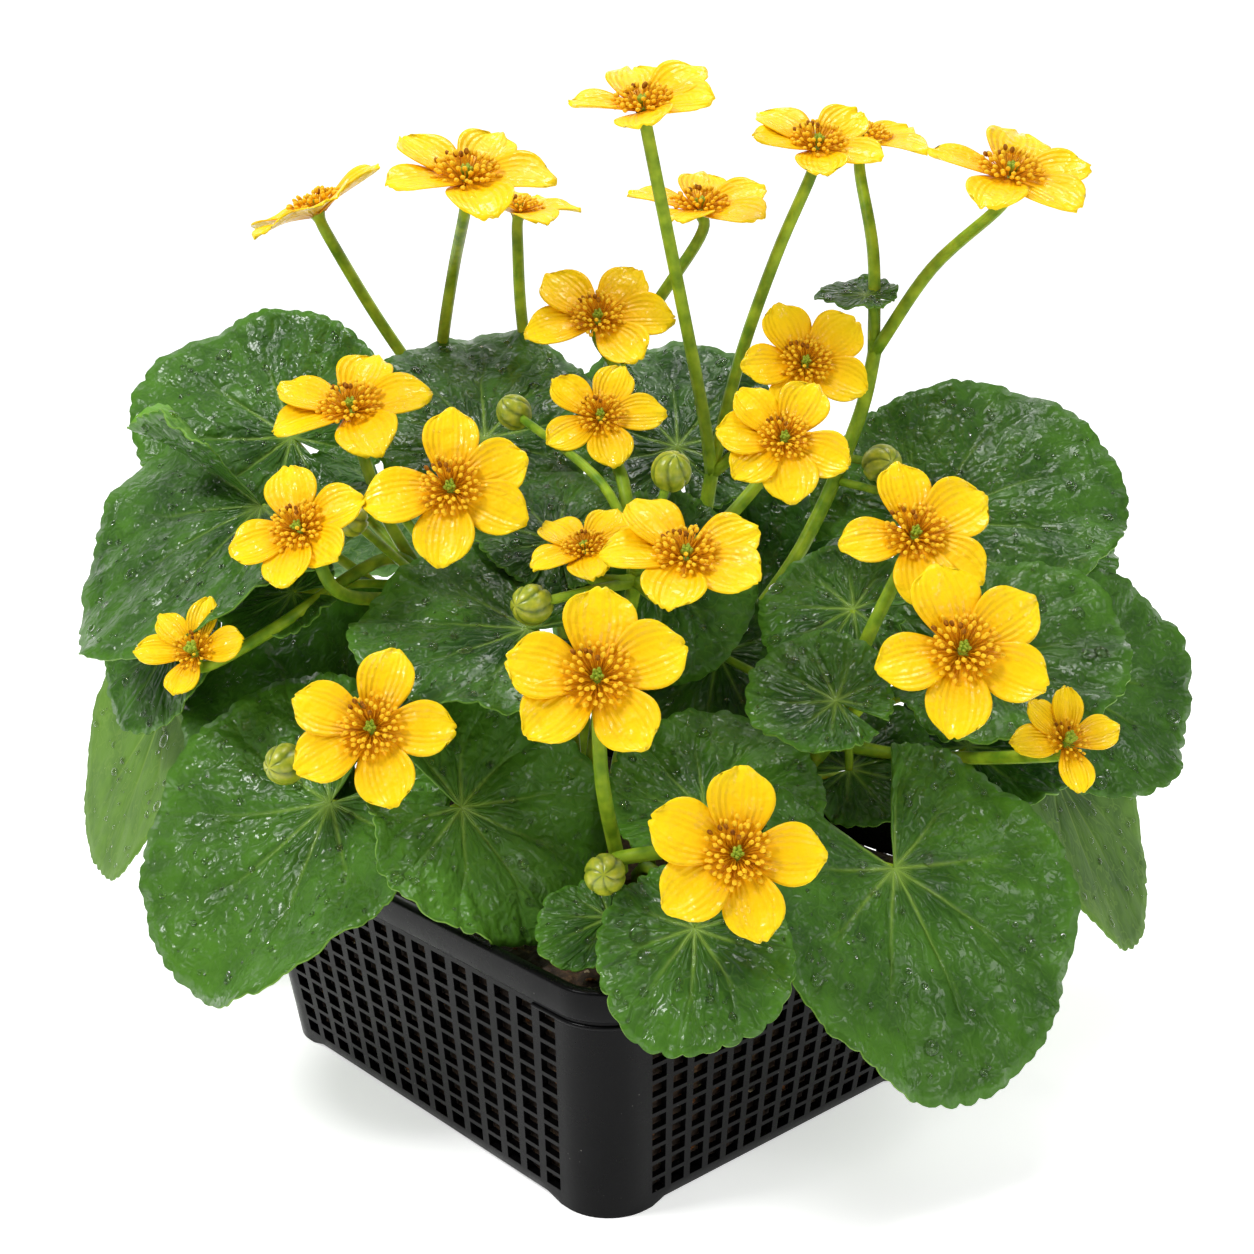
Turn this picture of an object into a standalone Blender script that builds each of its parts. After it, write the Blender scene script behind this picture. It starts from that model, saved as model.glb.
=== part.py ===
"""Marsh marigold (Caltha palustris) growing in a black mesh planting basket.

The pieces are the basket, the soil that fills it, the rootstock, and the leaves, flowering stems
and flower heads that grow from it. The plant is set out from the basket's front corner. A place
is (across, near, up) in millimetres from the middle of the basket's underside: across runs to the
right of someone who faces that corner, near runs towards them and up is +Z.
"""
import math

import bmesh
import bpy
from mathutils import Matrix, Vector

MM = 0.001
FIT = 0.3                      # gap kept between neighbouring solids, mm
FRONT_CORNER = math.radians(48)

# Basket, mm
BASKET_TOP = (180, 157)
BASKET_FOOT = (161, 138)
BASKET_HEIGHT = 73
BAND_HEIGHT = 9
BAND_STEP = 0.6
WALL = 2.2
CORNER_RADIUS = 15
CORNER_POST = 18               # plain length of wall at each corner
HOLE_GRID = {"x": (3, 3), "y": (3, 3)}
HOLE_SHARE = (0.68, 0.68)      # part of a cell that is open
HOLE_BAND = (5, 61)            # lowest and highest edge of the lattice
FOOT_RISE = 1.5                # the walls stand clear of the ground between the corners
FOOT_LENGTH = 20

# Soil and rootstock, mm
SOIL_TOP = 64
CROWN_RADIUS = 40
CROWN_FLAT = 34
CROWN_TOP = 70

# Leaves and stems, mm
BLADE_THICKNESS = 1.0
BLADE_BREADTH = 0.92           # share of the length from hinge to tip
BLADE_SPREAD = math.radians(158)
BLADE_SECTORS = 8
FOLD_WIDTH = math.radians(40)   # sweep of the blade over which a fold turns
PETIOLE_RADIUS = (1.9, 1.5)
PETIOLE_RUNS = 3
STEM_RADIUS = 2.6
BRANCH_RADIUS = 2.0
PETAL_THICKNESS = 0.8
PETAL_ROWS = ((0.62, 0.33), (1.0, 0.2))   # reach and half width, as shares of the flower's radius
PETAL_GAP = 0.02               # kept from the line midway to the next petal, share of the radius

# name: hinge, length, facing (azimuth, elevation), tip (clockwise from uphill),
#       bend (left, right, tip), fold (angle from the tip where it starts, degrees), foot (across, near)
LEAVES = {
    "back_left": ((-106, -77, 188), 58, (0, 38), 305, (15, 15, 10), None, (-17, -14)),
    "left": ((-107, -27, 173), 69, (-25, 57), 228, (20, 10, 25), (62, 105), (-19, -2)),
    "left_low": ((-138, -30, 130), 34, (-40, 35), 190, (10, 10, 10), None, (-23, -9)),
    "left_hanging": ((-148, -54, 102), 68, (-58, 28), 204, (10, 10, 10), None, (-30, -7)),
    "left_middle": ((-76, 12, 105), 64, (-18, 40), 308, (10, 10, 10), None, (-23, 3)),
    "front_left": ((-78, 36, 96), 65, (-22, 42), 218, (45, 10, 10), None, (-28, 11)),
    "front_mid_left": ((-37, 62, 104), 48, (35, 36), 126, (15, 20, 10), None, (-15, 26)),
    "front_inner": ((4, 89, 83), 20, (0, 65), 240, (10, 10, 10), None, (-2, 32)),
    "front_centre": ((26, 103, 86), 33, (0, 48), 182, (10, 10, 10), None, (13, 31)),
    "centre_front": ((31, 48, 98), 41, (0, 60), 28, (10, 10, 10), None, (15, 23)),
    "front_right": ((84, 60, 85), 64, (20, 38), 165, (10, 30, 10), None, (26, 17)),
    "right_middle": ((114, 5, 132), 48, (-20, 55), 72, (10, 10, 10), None, (24, 4)),
    "right_far": ((150, -17, 117), 50, (20, 30), 92, (10, 10, 10), None, (31, -2)),
    "right_hanging": ((150, -27, 84), 62, (60, 35), 170, (10, 10, 10), None, (32, -9)),
    "back_right": ((110, -50, 164), 66, (-15, 44), 55, (10, 10, 15), None, (24, -5)),
    "right_back": ((150, -75, 152), 32, (10, 50), 80, (10, 10, 15), None, (26, -17)),
    "back_centre": ((-37, -44, 192), 53, (5, 52), 0, (10, 10, 10), None, (-8, -9)),
    "centre_back": ((-12, 0, 167), 34, (0, 58), 5, (10, 10, 10), None, (-6, -3)),
    "centre_left": ((-20, 30, 147), 49, (5, 62), 280, (10, 10, 10), None, (-10, 17)),
    "back_far": ((27, -89, 183), 52, (0, 48), 0, (10, 10, 10), None, (7, -21)),
    "rear_left": ((-80, -110, 166), 61, (-150, 50), 190, (10, 10, 10), None, (-20, -23)),
    "rear_centre": ((26, -119, 118), 60, (175, 42), 175, (10, 10, 10), None, (4, -31)),
    "rear_right": ((52, -80, 118), 60, (8, 30), 5, (10, 10, 10), None, (18, -25)),
    "right_low": ((114, 8, 104), 36, (0, 50), 60, (10, 10, 10), None, (30, 9)),
}

# name: centre, radius, facing, cup in degrees, petals (clockwise from uphill)
FLOWERS = {
    "01": ((-91, -60, 263), 25, (-75, 65), 15, (10, 80, 150, 222, 295)),
    "02": ((-40, -30, 273), 27, (10, 62), 20, (30, 100, 170, 245, 315)),
    "03": ((-27, -80, 263), 20, (20, 80), 15, (30, 100, 170, 245, 315)),
    "04": ((14, -10, 293), 23, (-20, 62), 25, (40, 95, 160, 250, 335)),
    "05": ((33, -60, 264), 24, (0, 70), 20, (5, 75, 130, 200, 280)),
    "06": ((68, -40, 283), 23, (10, 58), 20, (50, 130, 190, 265, 320)),
    "07": ((88, -80, 286), 22, (20, 75), 15, (0, 72, 144, 216, 288)),
    "08": ((126, -30, 274), 26, (10, 60), 15, (25, 95, 150, 215, 290)),
    "09": ((0, -40, 230), 23, (0, 45), 10, (315, 35, 88, 145, 255)),
    "10": ((1, -10, 203), 19, (0, 40), 10, (310, 20, 85, 165, 235)),
    "11": ((-76, -20, 204), 24.5, (-5, 57), 15, (8, 72, 150, 238, 285)),
    "12": ((-42, 20, 186), 24, (0, 30), 10, (0, 68, 115, 185, 260)),
    "13": ((-86, 20, 174), 21.5, (-20, 40), 20, (335, 60, 120, 172, 238)),
    "14": ((-118, 23, 138), 17, (-10, 40), 25, (5, 80, 185, 265, 310)),
    "15": ((-60, 69, 129), 22.5, (0, 30), 10, (15, 92, 162, 238, 292)),
    "16": ((1, 80, 146), 24, (0, 35), 10, (3, 68, 148, 228, 280)),
    "17": ((-3, 30, 170), 17, (-20, 65), 25, (20, 80, 150, 222, 300)),
    "18": ((25, 50, 172), 23, (5, 56), 15, (325, 70, 125, 200, 272)),
    "19": ((65, -30, 217), 21.5, (0, 35), 15, (335, 50, 120, 200, 262)),
    "20": ((55, 10, 199), 20, (0, 35), 10, (320, 30, 118, 175, 228, 275)),
    "21": ((91, 30, 174), 23, (0, 40), 15, (350, 60, 135, 175, 258)),
    "22": ((100, 60, 148), 25, (0, 35), 10, (345, 55, 118, 190, 255)),
    "23": ((130, 60, 122), 16, (10, 40), 25, (10, 80, 180, 270, 320)),
    "24": ((36, 110, 109), 22.5, (0, 30), 10, (5, 92, 165, 232, 292)),
}

# name: trunk points, {flower: points of its branch}, buds (points of the stalk, radius), stem leaves
STEMS = {
    "back_left": (
        [(-10, -18, 70), (-24, -52, 110), (-44, -78, 160), (-59, -92, 202)],
        {"01": [(-76, -84, 228)], "02": [(-53, -84, 226), (-48, -72, 247)]},
        [], {}),
    "back_centre": (
        [(-2, -20, 70), (-8, -50, 115), (-16, -76, 150), (-16, -84, 176)],
        {"03": [(-26, -88, 220)], "05": [(14, -68, 226)], "09": [(6, -66, 205)]},
        [], {}),
    "back_right": (
        [(8, -11, 70), (20, -38, 110), (32, -50, 150), (38, -53, 183)],
        {"04": [(33, -44, 205)], "06": [(46, -54, 216), (57, -49, 250)], "19": [(60, -44, 200)]},
        [], {}),
    "right_back": (
        [(14, -13, 70), (42, -36, 120), (68, -52, 155), (86, -60, 195), (92, -62, 222)],
        {"07": [(91, -70, 250)], "08": [(107, -50, 246)]},
        [([(81, -58, 184), (92, -42, 184)], 6.5), ([(80, -57, 176), (98, -38, 174)], 4.5)],
        {"fork": ((88, -62, 237), 17, (-10, 70), 300, (10, 10, 10), None)}),
    "left": (
        [(-13, -4, 70), (-40, -24, 112), (-54, -32, 146)],
        {"11": [(-67, -24, 170)], "13": [(-76, 8, 152)], "14": [(-66, -18, 158), (-96, 12, 143)]},
        [([(-54, -32, 145), (-72, 14, 176)], 5)],
        {"tuft": ((-93, 0, 151), 24, (-20, 50), 260, (10, 10, 10), None)}),
    "front_left": (
        [(-11, 10, 70), (-31, 19, 95), (-39, 21, 116)],
        {"15": [(-49, 40, 120)], "12": [(-52, -8, 148), (-46, -8, 172)]},
        [([(-38, 20, 113), (-60, 38, 120), (-88, 48, 112)], 6)], {}),
    "centre": (
        [(-3, 3, 70), (0, 4, 110), (8, 8, 140), (12, 18, 162)],
        {"10": [(8, 2, 185)], "17": [(6, 26, 160)], "18": [(18, 36, 158)], "20": [(36, 6, 172)]},
        [([(12, 18, 161), (2, 12, 186), (-26, -24, 203)], 5.5), ([(12, 18, 160), (22, 12, 190)], 6),
         ([(12, 18, 158), (0, 36, 160), (-18, 38, 156)], 6)],
        {"shade": ((19, -15, 158), 40, (0, 28), 180, (10, 10, 10), None)}),
    "right": (
        [(14, 8, 70), (54, 14, 90), (72, 20, 112)],
        {"21": [(78, 26, 140)], "22": [(86, 36, 136)], "23": [(98, 18, 104)]},
        [],
        {"inner": ((77, 10, 148), 30, (-30, 45), 266, (10, 10, 10), None),
         "small": ((76, 20, 101), 31, (0, 55), 70, (10, 10, 10), None),
         "deep": ((38, -18, 127), 38, (0, 35), 190, (10, 10, 10), None),
         "upper": ((68, 46, 130), 27, (-10, 50), 300, (10, 10, 10), None)}),
    "front": (
        [(5, 16, 70), (6, 44, 78), (7, 60, 85)],
        {"16": [(2, 74, 116)], "24": [(8, 74, 94), (38, 78, 99)]},
        [([(7, 59, 85), (3, 96, 98)], 5.5)],
        {}),
}


def place(across, near, up):
    """World position or direction, in metres, of set-out values in millimetres."""
    c, s = math.cos(FRONT_CORNER), math.sin(FRONT_CORNER)
    return Vector((across * c + near * s, across * s - near * c, up)) * MM


def facing_frame(facing, turn):
    """Unit normal, tip direction and side direction of a blade or a flower."""
    azimuth, elevation, turn = (math.radians(a) for a in (*facing, turn))
    flat, rise = math.cos(elevation), math.sin(elevation)
    normal = place(math.sin(azimuth) * flat, math.cos(azimuth) * flat, rise).normalized()
    uphill = place(-math.sin(azimuth) * rise, -math.cos(azimuth) * rise, flat).normalized()
    sideways = uphill.cross(normal)
    tip = uphill * math.cos(turn) + sideways * math.sin(turn)
    return normal, tip, tip.cross(normal)


def bent(distance, degrees, length):
    """Run and lift of a point at this distance along a sheet that bends evenly."""
    if not degrees:
        return distance, 0.0
    rate = math.radians(degrees) / length
    return math.sin(rate * distance) / rate, (1 - math.cos(rate * distance)) / rate


def material(name, colour, roughness):
    """A plain Principled material."""
    made = bpy.data.materials.new(name)
    made.use_nodes = True
    shader = made.node_tree.nodes["Principled BSDF"]
    shader.inputs["Base Color"].default_value = (*colour, 1)
    shader.inputs["Roughness"].default_value = roughness
    return made


def add_object(name, mesh, collection, finish=None):
    """A named object for a mesh, in a collection, with its material."""
    made = bpy.data.objects.new(name, mesh)
    collection.objects.link(made)
    if finish:
        mesh.materials.append(finish)
    return made


def add_cutter(name, mesh):
    """A guide solid that another object cuts away or takes in."""
    made = add_object(name, mesh, CUTTERS)
    made.hide_render = True
    made.display_type = "WIRE"
    return made


def boolean(target, tool, operation):
    """An exact Boolean modifier on the target."""
    step = target.modifiers.new(f"{operation.lower()}_{tool.name}", "BOOLEAN")
    step.operation = operation
    step.solver = "EXACT"
    step.object = tool


def mesh_from(bm, name):
    """A mesh from a bmesh, which is freed."""
    mesh = bpy.data.meshes.new(name)
    bm.to_mesh(mesh)
    bm.free()
    return mesh


def tube(name, points, radii, sides=6):
    """Closed tube mesh through the points, its radius running evenly from first to last."""
    curve = bpy.data.curves.new(name, "CURVE")
    curve.dimensions = "3D"
    curve.bevel_depth = MM
    curve.bevel_resolution = (sides - 4) // 2
    curve.use_fill_caps = True
    spline = curve.splines.new("POLY")
    spline.points.add(len(points) - 1)
    for index, (point, co) in enumerate(zip(spline.points, points)):
        share = index / (len(points) - 1)
        point.co = (*co, 1)
        point.radius = radii[0] + (radii[1] - radii[0]) * share
    guide = bpy.data.objects.new(name, curve)
    CUTTERS.objects.link(guide)
    bpy.context.view_layer.update()
    mesh = bpy.data.meshes.new_from_object(guide.evaluated_get(bpy.context.evaluated_depsgraph_get()))
    bpy.data.objects.remove(guide)
    bm = bmesh.new()
    bm.from_mesh(mesh)
    bmesh.ops.remove_doubles(bm, verts=bm.verts, dist=1e-6)
    bm.to_mesh(mesh)
    bm.free()
    mesh.name = name
    return mesh


def stand(mesh, foot, radius):
    """Trim the first ring of a tube level with the rootstock that it stands on."""
    for vert in mesh.vertices:
        if (vert.co - foot).length < 1.5 * radius * MM:
            vert.co.z = foot.z
    return mesh


def blade_mesh(name, spec):
    """Open kidney-shaped sheet of a leaf, notched at the hinge, bent and tipped into place."""
    hinge, length, facing, turn, (bend_left, bend_right, bend_tip), fold = spec[:6]
    normal, tip, side = facing_frame(facing, turn)
    bm = bmesh.new()
    bmesh.ops.create_grid(bm, x_segments=BLADE_SECTORS, y_segments=2, size=1)
    for vert in bm.verts:
        angle = vert.co.x * BLADE_SPREAD
        reach = (vert.co.y + 1) / 2
        radius = reach * length * (0.78 + 0.22 * math.cos(angle))
        across = BLADE_BREADTH * radius * math.sin(angle)
        along = radius * math.cos(angle)
        run, lift = bent(across, bend_right if across > 0 else bend_left, length)
        ahead, droop = bent(along, bend_tip, length) if along > 0 else (along, 0)
        spot = side * run + tip * ahead + normal * (lift - droop)
        if fold and angle * fold[0] > 0 and abs(angle) > math.radians(abs(fold[0])):
            crease_angle = math.radians(fold[0])
            crease = side * math.sin(crease_angle) + tip * math.cos(crease_angle)
            share = min(1, (abs(angle) - abs(crease_angle)) / FOLD_WIDTH)
            turned = math.radians(fold[1]) * share * (-1 if fold[0] > 0 else 1)
            spot = Matrix.Rotation(turned, 3, crease) @ spot
        vert.co = place(*hinge) + MM * spot
    bmesh.ops.remove_doubles(bm, verts=bm.verts, dist=1e-6)
    bmesh.ops.recalc_face_normals(bm, faces=bm.faces)
    if sum((face.normal * face.calc_area() for face in bm.faces), Vector()).dot(normal) < 0:
        bmesh.ops.reverse_faces(bm, faces=bm.faces)
    return mesh_from(bm, name)


def thicken(target, thickness):
    """A wall of this thickness below the sheet."""
    step = target.modifiers.new("thickness", "SOLIDIFY")
    step.thickness = thickness * MM
    step.offset = -1


def petiole_points(spec):
    """Stalk from the rootstock, upright at first, to the underside of the blade at its hinge."""
    hinge, _, facing, turn, _, _, foot = spec
    normal, tip, _ = facing_frame(facing, turn)
    end = place(*hinge) - normal * MM * BLADE_THICKNESS / 2
    start = place(*foot, CROWN_TOP + FIT)
    reach = (end - start).length
    rise = 0.12 + 0.23 * min(1, (hinge[2] - CROWN_TOP) / 60)
    lead = start + Vector((0, 0, rise * reach)) + 0.1 * (end - start)
    trail = end - (0.75 * normal + 0.4 * tip) * 0.3 * reach
    points = []
    for index in range(PETIOLE_RUNS + 1):
        t = index / PETIOLE_RUNS
        points.append((1 - t) ** 3 * start + 3 * t * (1 - t) ** 2 * lead
                      + 3 * t * t * (1 - t) * trail + t ** 3 * end)
    return points


def build_leaf(name, spec, finish):
    """A leaf: its blade with the petiole joined to it."""
    leaf = add_object(f"leaf_{name}", blade_mesh(f"leaf_{name}", spec), PLANT, finish)
    thicken(leaf, BLADE_THICKNESS)
    route = petiole_points(spec)
    stalk = stand(tube(f"petiole_{name}", route, PETIOLE_RADIUS, 4), route[0], PETIOLE_RADIUS[0])
    boolean(leaf, add_cutter(f"petiole_{name}", stalk), "UNION")


def half_gaps(petals, angle):
    """Half the angle, in radians, from a petal to its neighbour on its left (-1) and right (1)."""
    index = petals.index(angle)
    after = petals[(index + 1) % len(petals)]
    return {-1: math.radians((angle - petals[index - 1]) % 360 / 2),
            1: math.radians((after - angle) % 360 / 2)}


def build_flower(name, spec, finish):
    """A flower head: spread petals round a low dome of stamens."""
    centre, radius, facing, cup, petals = spec
    normal, uphill, side = facing_frame(facing, 0)
    lift = math.sin(math.radians(cup))
    bm = bmesh.new()
    bmesh.ops.create_circle(bm, cap_ends=True, segments=len(petals), radius=1)
    corners = []
    for here, after in zip(petals, petals[1:] + (petals[0] + 360,)):
        corners.append(math.radians((here + after % 360 + (360 if after % 360 < here else 0)) / 2))
    bm.verts.ensure_lookup_table()
    hub = 0.17 * radius
    for vert, angle in zip(bm.verts, corners):
        vert.co = hub * Vector((math.sin(angle), math.cos(angle), 0))
    edges = list(bm.edges)
    for edge in edges:
        middle = (edge.verts[0].co + edge.verts[1].co) / 2
        toward = min(petals, key=lambda a: -middle.dot(Vector((math.sin(math.radians(a)),
                                                               math.cos(math.radians(a)), 0))))
        out = Vector((math.sin(math.radians(toward)), math.cos(math.radians(toward)), 0))
        across = Vector((out.y, -out.x, 0))
        gaps = half_gaps(petals, toward)
        for reach, width in PETAL_ROWS:
            grown = bmesh.ops.extrude_edge_only(bm, edges=[edge])["geom"]
            edge = next(item for item in grown if isinstance(item, bmesh.types.BMEdge))
            for vert in edge.verts:
                sign = 1 if vert.co.dot(across) > middle.dot(across) else -1
                breadth = min(width, reach * math.tan(gaps[sign]) - PETAL_GAP)
                vert.co = radius * (reach * out + sign * breadth * across)
                vert.co.z = radius * lift * reach * (1 - 0.35 * reach)
    bmesh.ops.recalc_face_normals(bm, faces=bm.faces)
    if sum(face.normal.z for face in bm.faces) < 0:
        bmesh.ops.reverse_faces(bm, faces=bm.faces)
    bmesh.ops.solidify(bm, geom=bm.faces[:], thickness=PETAL_THICKNESS)
    bmesh.ops.recalc_face_normals(bm, faces=bm.faces)
    top = max((f for f in bm.faces if len(f.verts) == len(petals)), key=lambda f: f.normal.z)
    bmesh.ops.poke(bm, faces=[top], offset=4.5)
    turn = Matrix((side, uphill, normal)).transposed().to_4x4()
    bmesh.ops.scale(bm, vec=(MM, MM, MM), verts=bm.verts)
    flower = add_object(f"flower_{name}", mesh_from(bm, f"flower_{name}"), PLANT, finish)
    flower.matrix_world = Matrix.Translation(place(*centre)) @ turn


def build_stem(name, trunk, branches, buds, leaves, finish):
    """A flowering stem: trunk, a branch to each of its flowers, buds and stem leaves."""
    trunk = [place(*point) for point in trunk]
    trunk[0].z += FIT * MM
    shaft = stand(tube(f"stem_{name}", trunk, (STEM_RADIUS, STEM_RADIUS * 0.9)), trunk[0], STEM_RADIUS)
    stem = add_object(f"stem_{name}", shaft, PLANT, finish)
    fork = trunk[-1] - (trunk[-1] - trunk[-2]).normalized() * MM
    for flower, route in branches.items():
        centre, _, facing, _, _ = FLOWERS[flower]
        normal = facing_frame(facing, 0)[0]
        seat = place(*centre) - normal * MM * (PETAL_THICKNESS + FIT)
        route = [fork, *(place(*point) for point in route), seat - normal * MM * 9, seat]
        mesh = tube(f"branch_{flower}", route, (BRANCH_RADIUS, BRANCH_RADIUS), 4)
        boolean(stem, add_cutter(f"branch_{flower}", mesh), "UNION")
    for number, (route, radius) in enumerate(buds, 1):
        points = [place(*point) for point in route]
        label = f"bud_{name}_{number}"
        mesh = tube(f"{label}_stalk", points, (BRANCH_RADIUS * 0.8, BRANCH_RADIUS * 0.8), 4)
        boolean(stem, add_cutter(f"{label}_stalk", mesh), "UNION")
        bm = bmesh.new()
        bmesh.ops.create_uvsphere(bm, u_segments=6, v_segments=4, radius=radius * MM)
        bmesh.ops.translate(bm, vec=points[-1], verts=bm.verts)
        boolean(stem, add_cutter(label, mesh_from(bm, label)), "UNION")
    for label, spec in leaves.items():
        normal = facing_frame(spec[2], spec[3])[0]
        hinge = place(*spec[0]) - normal * MM * BLADE_THICKNESS / 2
        stalk = tube(f"bract_stalk_{label}", [fork, hinge], (BRANCH_RADIUS * 0.7, BRANCH_RADIUS * 0.7), 4)
        boolean(stem, add_cutter(f"bract_stalk_{label}", stalk), "UNION")
        sheet = add_cutter(f"bract_{label}", blade_mesh(f"bract_{label}", spec))
        thicken(sheet, BLADE_THICKNESS)
        boolean(stem, sheet, "UNION")


def tapered_box(name, foot, top, low, high, corner, segments=3):
    """Box mesh that widens from foot to top, its upright edges rounded."""
    bm = bmesh.new()
    bmesh.ops.create_cube(bm, size=1)
    for vert in bm.verts:
        size = top if vert.co.z > 0 else foot
        vert.co = Vector((vert.co.x * size[0], vert.co.y * size[1], high if vert.co.z > 0 else low)) * MM
    upright = [e for e in bm.edges if abs(e.verts[0].co.z - e.verts[1].co.z) > (high - low) * MM / 2]
    bmesh.ops.bevel(bm, geom=upright, offset=corner * MM, segments=segments, profile=0.5,
                    affect="EDGES", material=-1)
    return mesh_from(bm, name)


def width_at(height):
    """Outer size of the basket's wall at a height."""
    share = height / BASKET_HEIGHT
    return tuple(foot + (top - foot) * share for foot, top in zip(BASKET_FOOT, BASKET_TOP))


def shrink(size, amount):
    """A size with the same amount taken off each side."""
    return size[0] - 2 * amount, size[1] - 2 * amount


def lattice_bars(axis):
    """Bars that open the lattice holes in the two walls that the axis crosses."""
    columns, rows = HOLE_GRID[axis]
    length = BASKET_FOOT[1 if axis == "x" else 0] - 2 * CORNER_POST
    pitch = length / columns
    rise = (HOLE_BAND[1] - HOLE_BAND[0]) / rows
    bm = bmesh.new()
    for column in range(columns):
        for row in range(rows):
            bar = bmesh.ops.create_cube(bm, size=1)["verts"]
            size = (BASKET_TOP[0] * 1.2, pitch * HOLE_SHARE[0], rise * HOLE_SHARE[1])
            bmesh.ops.scale(bm, vec=size, verts=bar)
            bmesh.ops.translate(bm, vec=(0, (column + 0.5) * pitch - length / 2,
                                         HOLE_BAND[0] + (row + 0.5) * rise), verts=bar)
    if axis == "y":
        bmesh.ops.rotate(bm, cent=(0, 0, 0), matrix=Matrix.Rotation(math.pi / 2, 3, "Z"), verts=bm.verts)
    bmesh.ops.scale(bm, vec=(MM, MM, MM), verts=bm.verts)
    return mesh_from(bm, f"lattice_{axis}")


def foot_recess(axis):
    """Low box that lifts the underside of two opposite walls between the corner feet."""
    along = BASKET_FOOT[0 if axis == "x" else 1] - 2 * FOOT_LENGTH
    bm = bmesh.new()
    for sign in (-1, 1):
        box = bmesh.ops.create_cube(bm, size=1)["verts"]
        bmesh.ops.scale(bm, vec=(along, 12, 2 * FOOT_RISE), verts=box)
        bmesh.ops.translate(bm, vec=(0, sign * BASKET_FOOT[1 if axis == "x" else 0] / 2, 0), verts=box)
    if axis == "y":
        bmesh.ops.rotate(bm, cent=(0, 0, 0), matrix=Matrix.Rotation(math.pi / 2, 3, "Z"), verts=bm.verts)
    bmesh.ops.scale(bm, vec=(MM, MM, MM), verts=bm.verts)
    return mesh_from(bm, f"recess_{axis}")


def build_basket(finish):
    """The basket: tapered body with a rim band, hollowed, with a lattice of holes in each wall."""
    body = tapered_box("basket", BASKET_FOOT, BASKET_TOP, 0, BASKET_HEIGHT, CORNER_RADIUS)
    basket = add_object("basket", body, PLANT, finish)
    band_low = BASKET_HEIGHT - BAND_HEIGHT
    band = tapered_box("rim_band", shrink(width_at(band_low), -BAND_STEP), shrink(BASKET_TOP, -BAND_STEP),
                       band_low, BASKET_HEIGHT, CORNER_RADIUS)
    boolean(basket, add_cutter("rim_band", band), "UNION")
    floor = 2.5
    inside = tapered_box("inside", shrink(width_at(floor), WALL), shrink(width_at(BASKET_HEIGHT + 2), WALL),
                         floor, BASKET_HEIGHT + 2, CORNER_RADIUS - WALL, segments=2)
    boolean(basket, add_cutter("inside", inside), "DIFFERENCE")
    for axis in "xy":
        boolean(basket, add_cutter(f"lattice_{axis}", lattice_bars(axis)), "DIFFERENCE")
        boolean(basket, add_cutter(f"recess_{axis}", foot_recess(axis)), "DIFFERENCE")


def build_soil(finish):
    """The soil that fills the basket to just under the rim."""
    floor = 2.5 + FIT
    low = shrink(width_at(floor), WALL + FIT)
    high = shrink(width_at(SOIL_TOP), WALL + FIT)
    block = tapered_box("soil", low, high, floor, SOIL_TOP, CORNER_RADIUS - WALL, segments=2)
    add_object("soil", block, PLANT, finish)


def build_rootstock(finish):
    """The low crown that the petioles and stems rise from."""
    bm = bmesh.new()
    height = CROWN_TOP - SOIL_TOP - FIT
    bmesh.ops.create_cone(bm, cap_ends=True, segments=14, radius1=CROWN_RADIUS * MM,
                          radius2=CROWN_FLAT * MM, depth=height * MM)
    bmesh.ops.translate(bm, vec=(0, 0, (SOIL_TOP + FIT + height / 2) * MM), verts=bm.verts)
    add_object("rootstock", mesh_from(bm, "rootstock"), PLANT, finish)


def clear_scene():
    """Remove whatever the file opened with."""
    for old in list(bpy.data.objects):
        bpy.data.objects.remove(old, do_unlink=True)


def new_collection(name):
    """A collection under the scene's own."""
    made = bpy.data.collections.new(name)
    bpy.context.scene.collection.children.link(made)
    return made


clear_scene()
PLANT = new_collection("marsh_marigold")
CUTTERS = new_collection("cutters")

build_basket(material("black_polypropylene", (0.012, 0.012, 0.013), 0.4))
build_soil(material("soil", (0.03, 0.018, 0.01), 0.95))
build_rootstock(material("rootstock", (0.05, 0.03, 0.015), 0.9))
for leaf_name, leaf_spec in LEAVES.items():
    build_leaf(leaf_name, leaf_spec, material(f"leaf_{leaf_name}", (0.02, 0.13, 0.02), 0.35))
for flower_name, flower_spec in FLOWERS.items():
    build_flower(flower_name, flower_spec, material(f"petal_{flower_name}", (0.95, 0.55, 0.0), 0.35))
for stem_name, stem_spec in STEMS.items():
    build_stem(stem_name, *stem_spec, material(f"stem_{stem_name}", (0.12, 0.3, 0.03), 0.45))
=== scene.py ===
"""Marsh marigold in a black mesh pond basket: the looks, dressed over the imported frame.

Lengths are in millimetres and angles in degrees until a mesh is made. The set-out axes are
across (to the right), near (towards the front corner of the basket) and up.
"""
import logging
import math
from dataclasses import dataclass, field
from enum import Enum
from functools import partial
from typing import Callable, Sequence

import bmesh
import bpy
import numpy as np
from mathutils import Matrix, Vector

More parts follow.
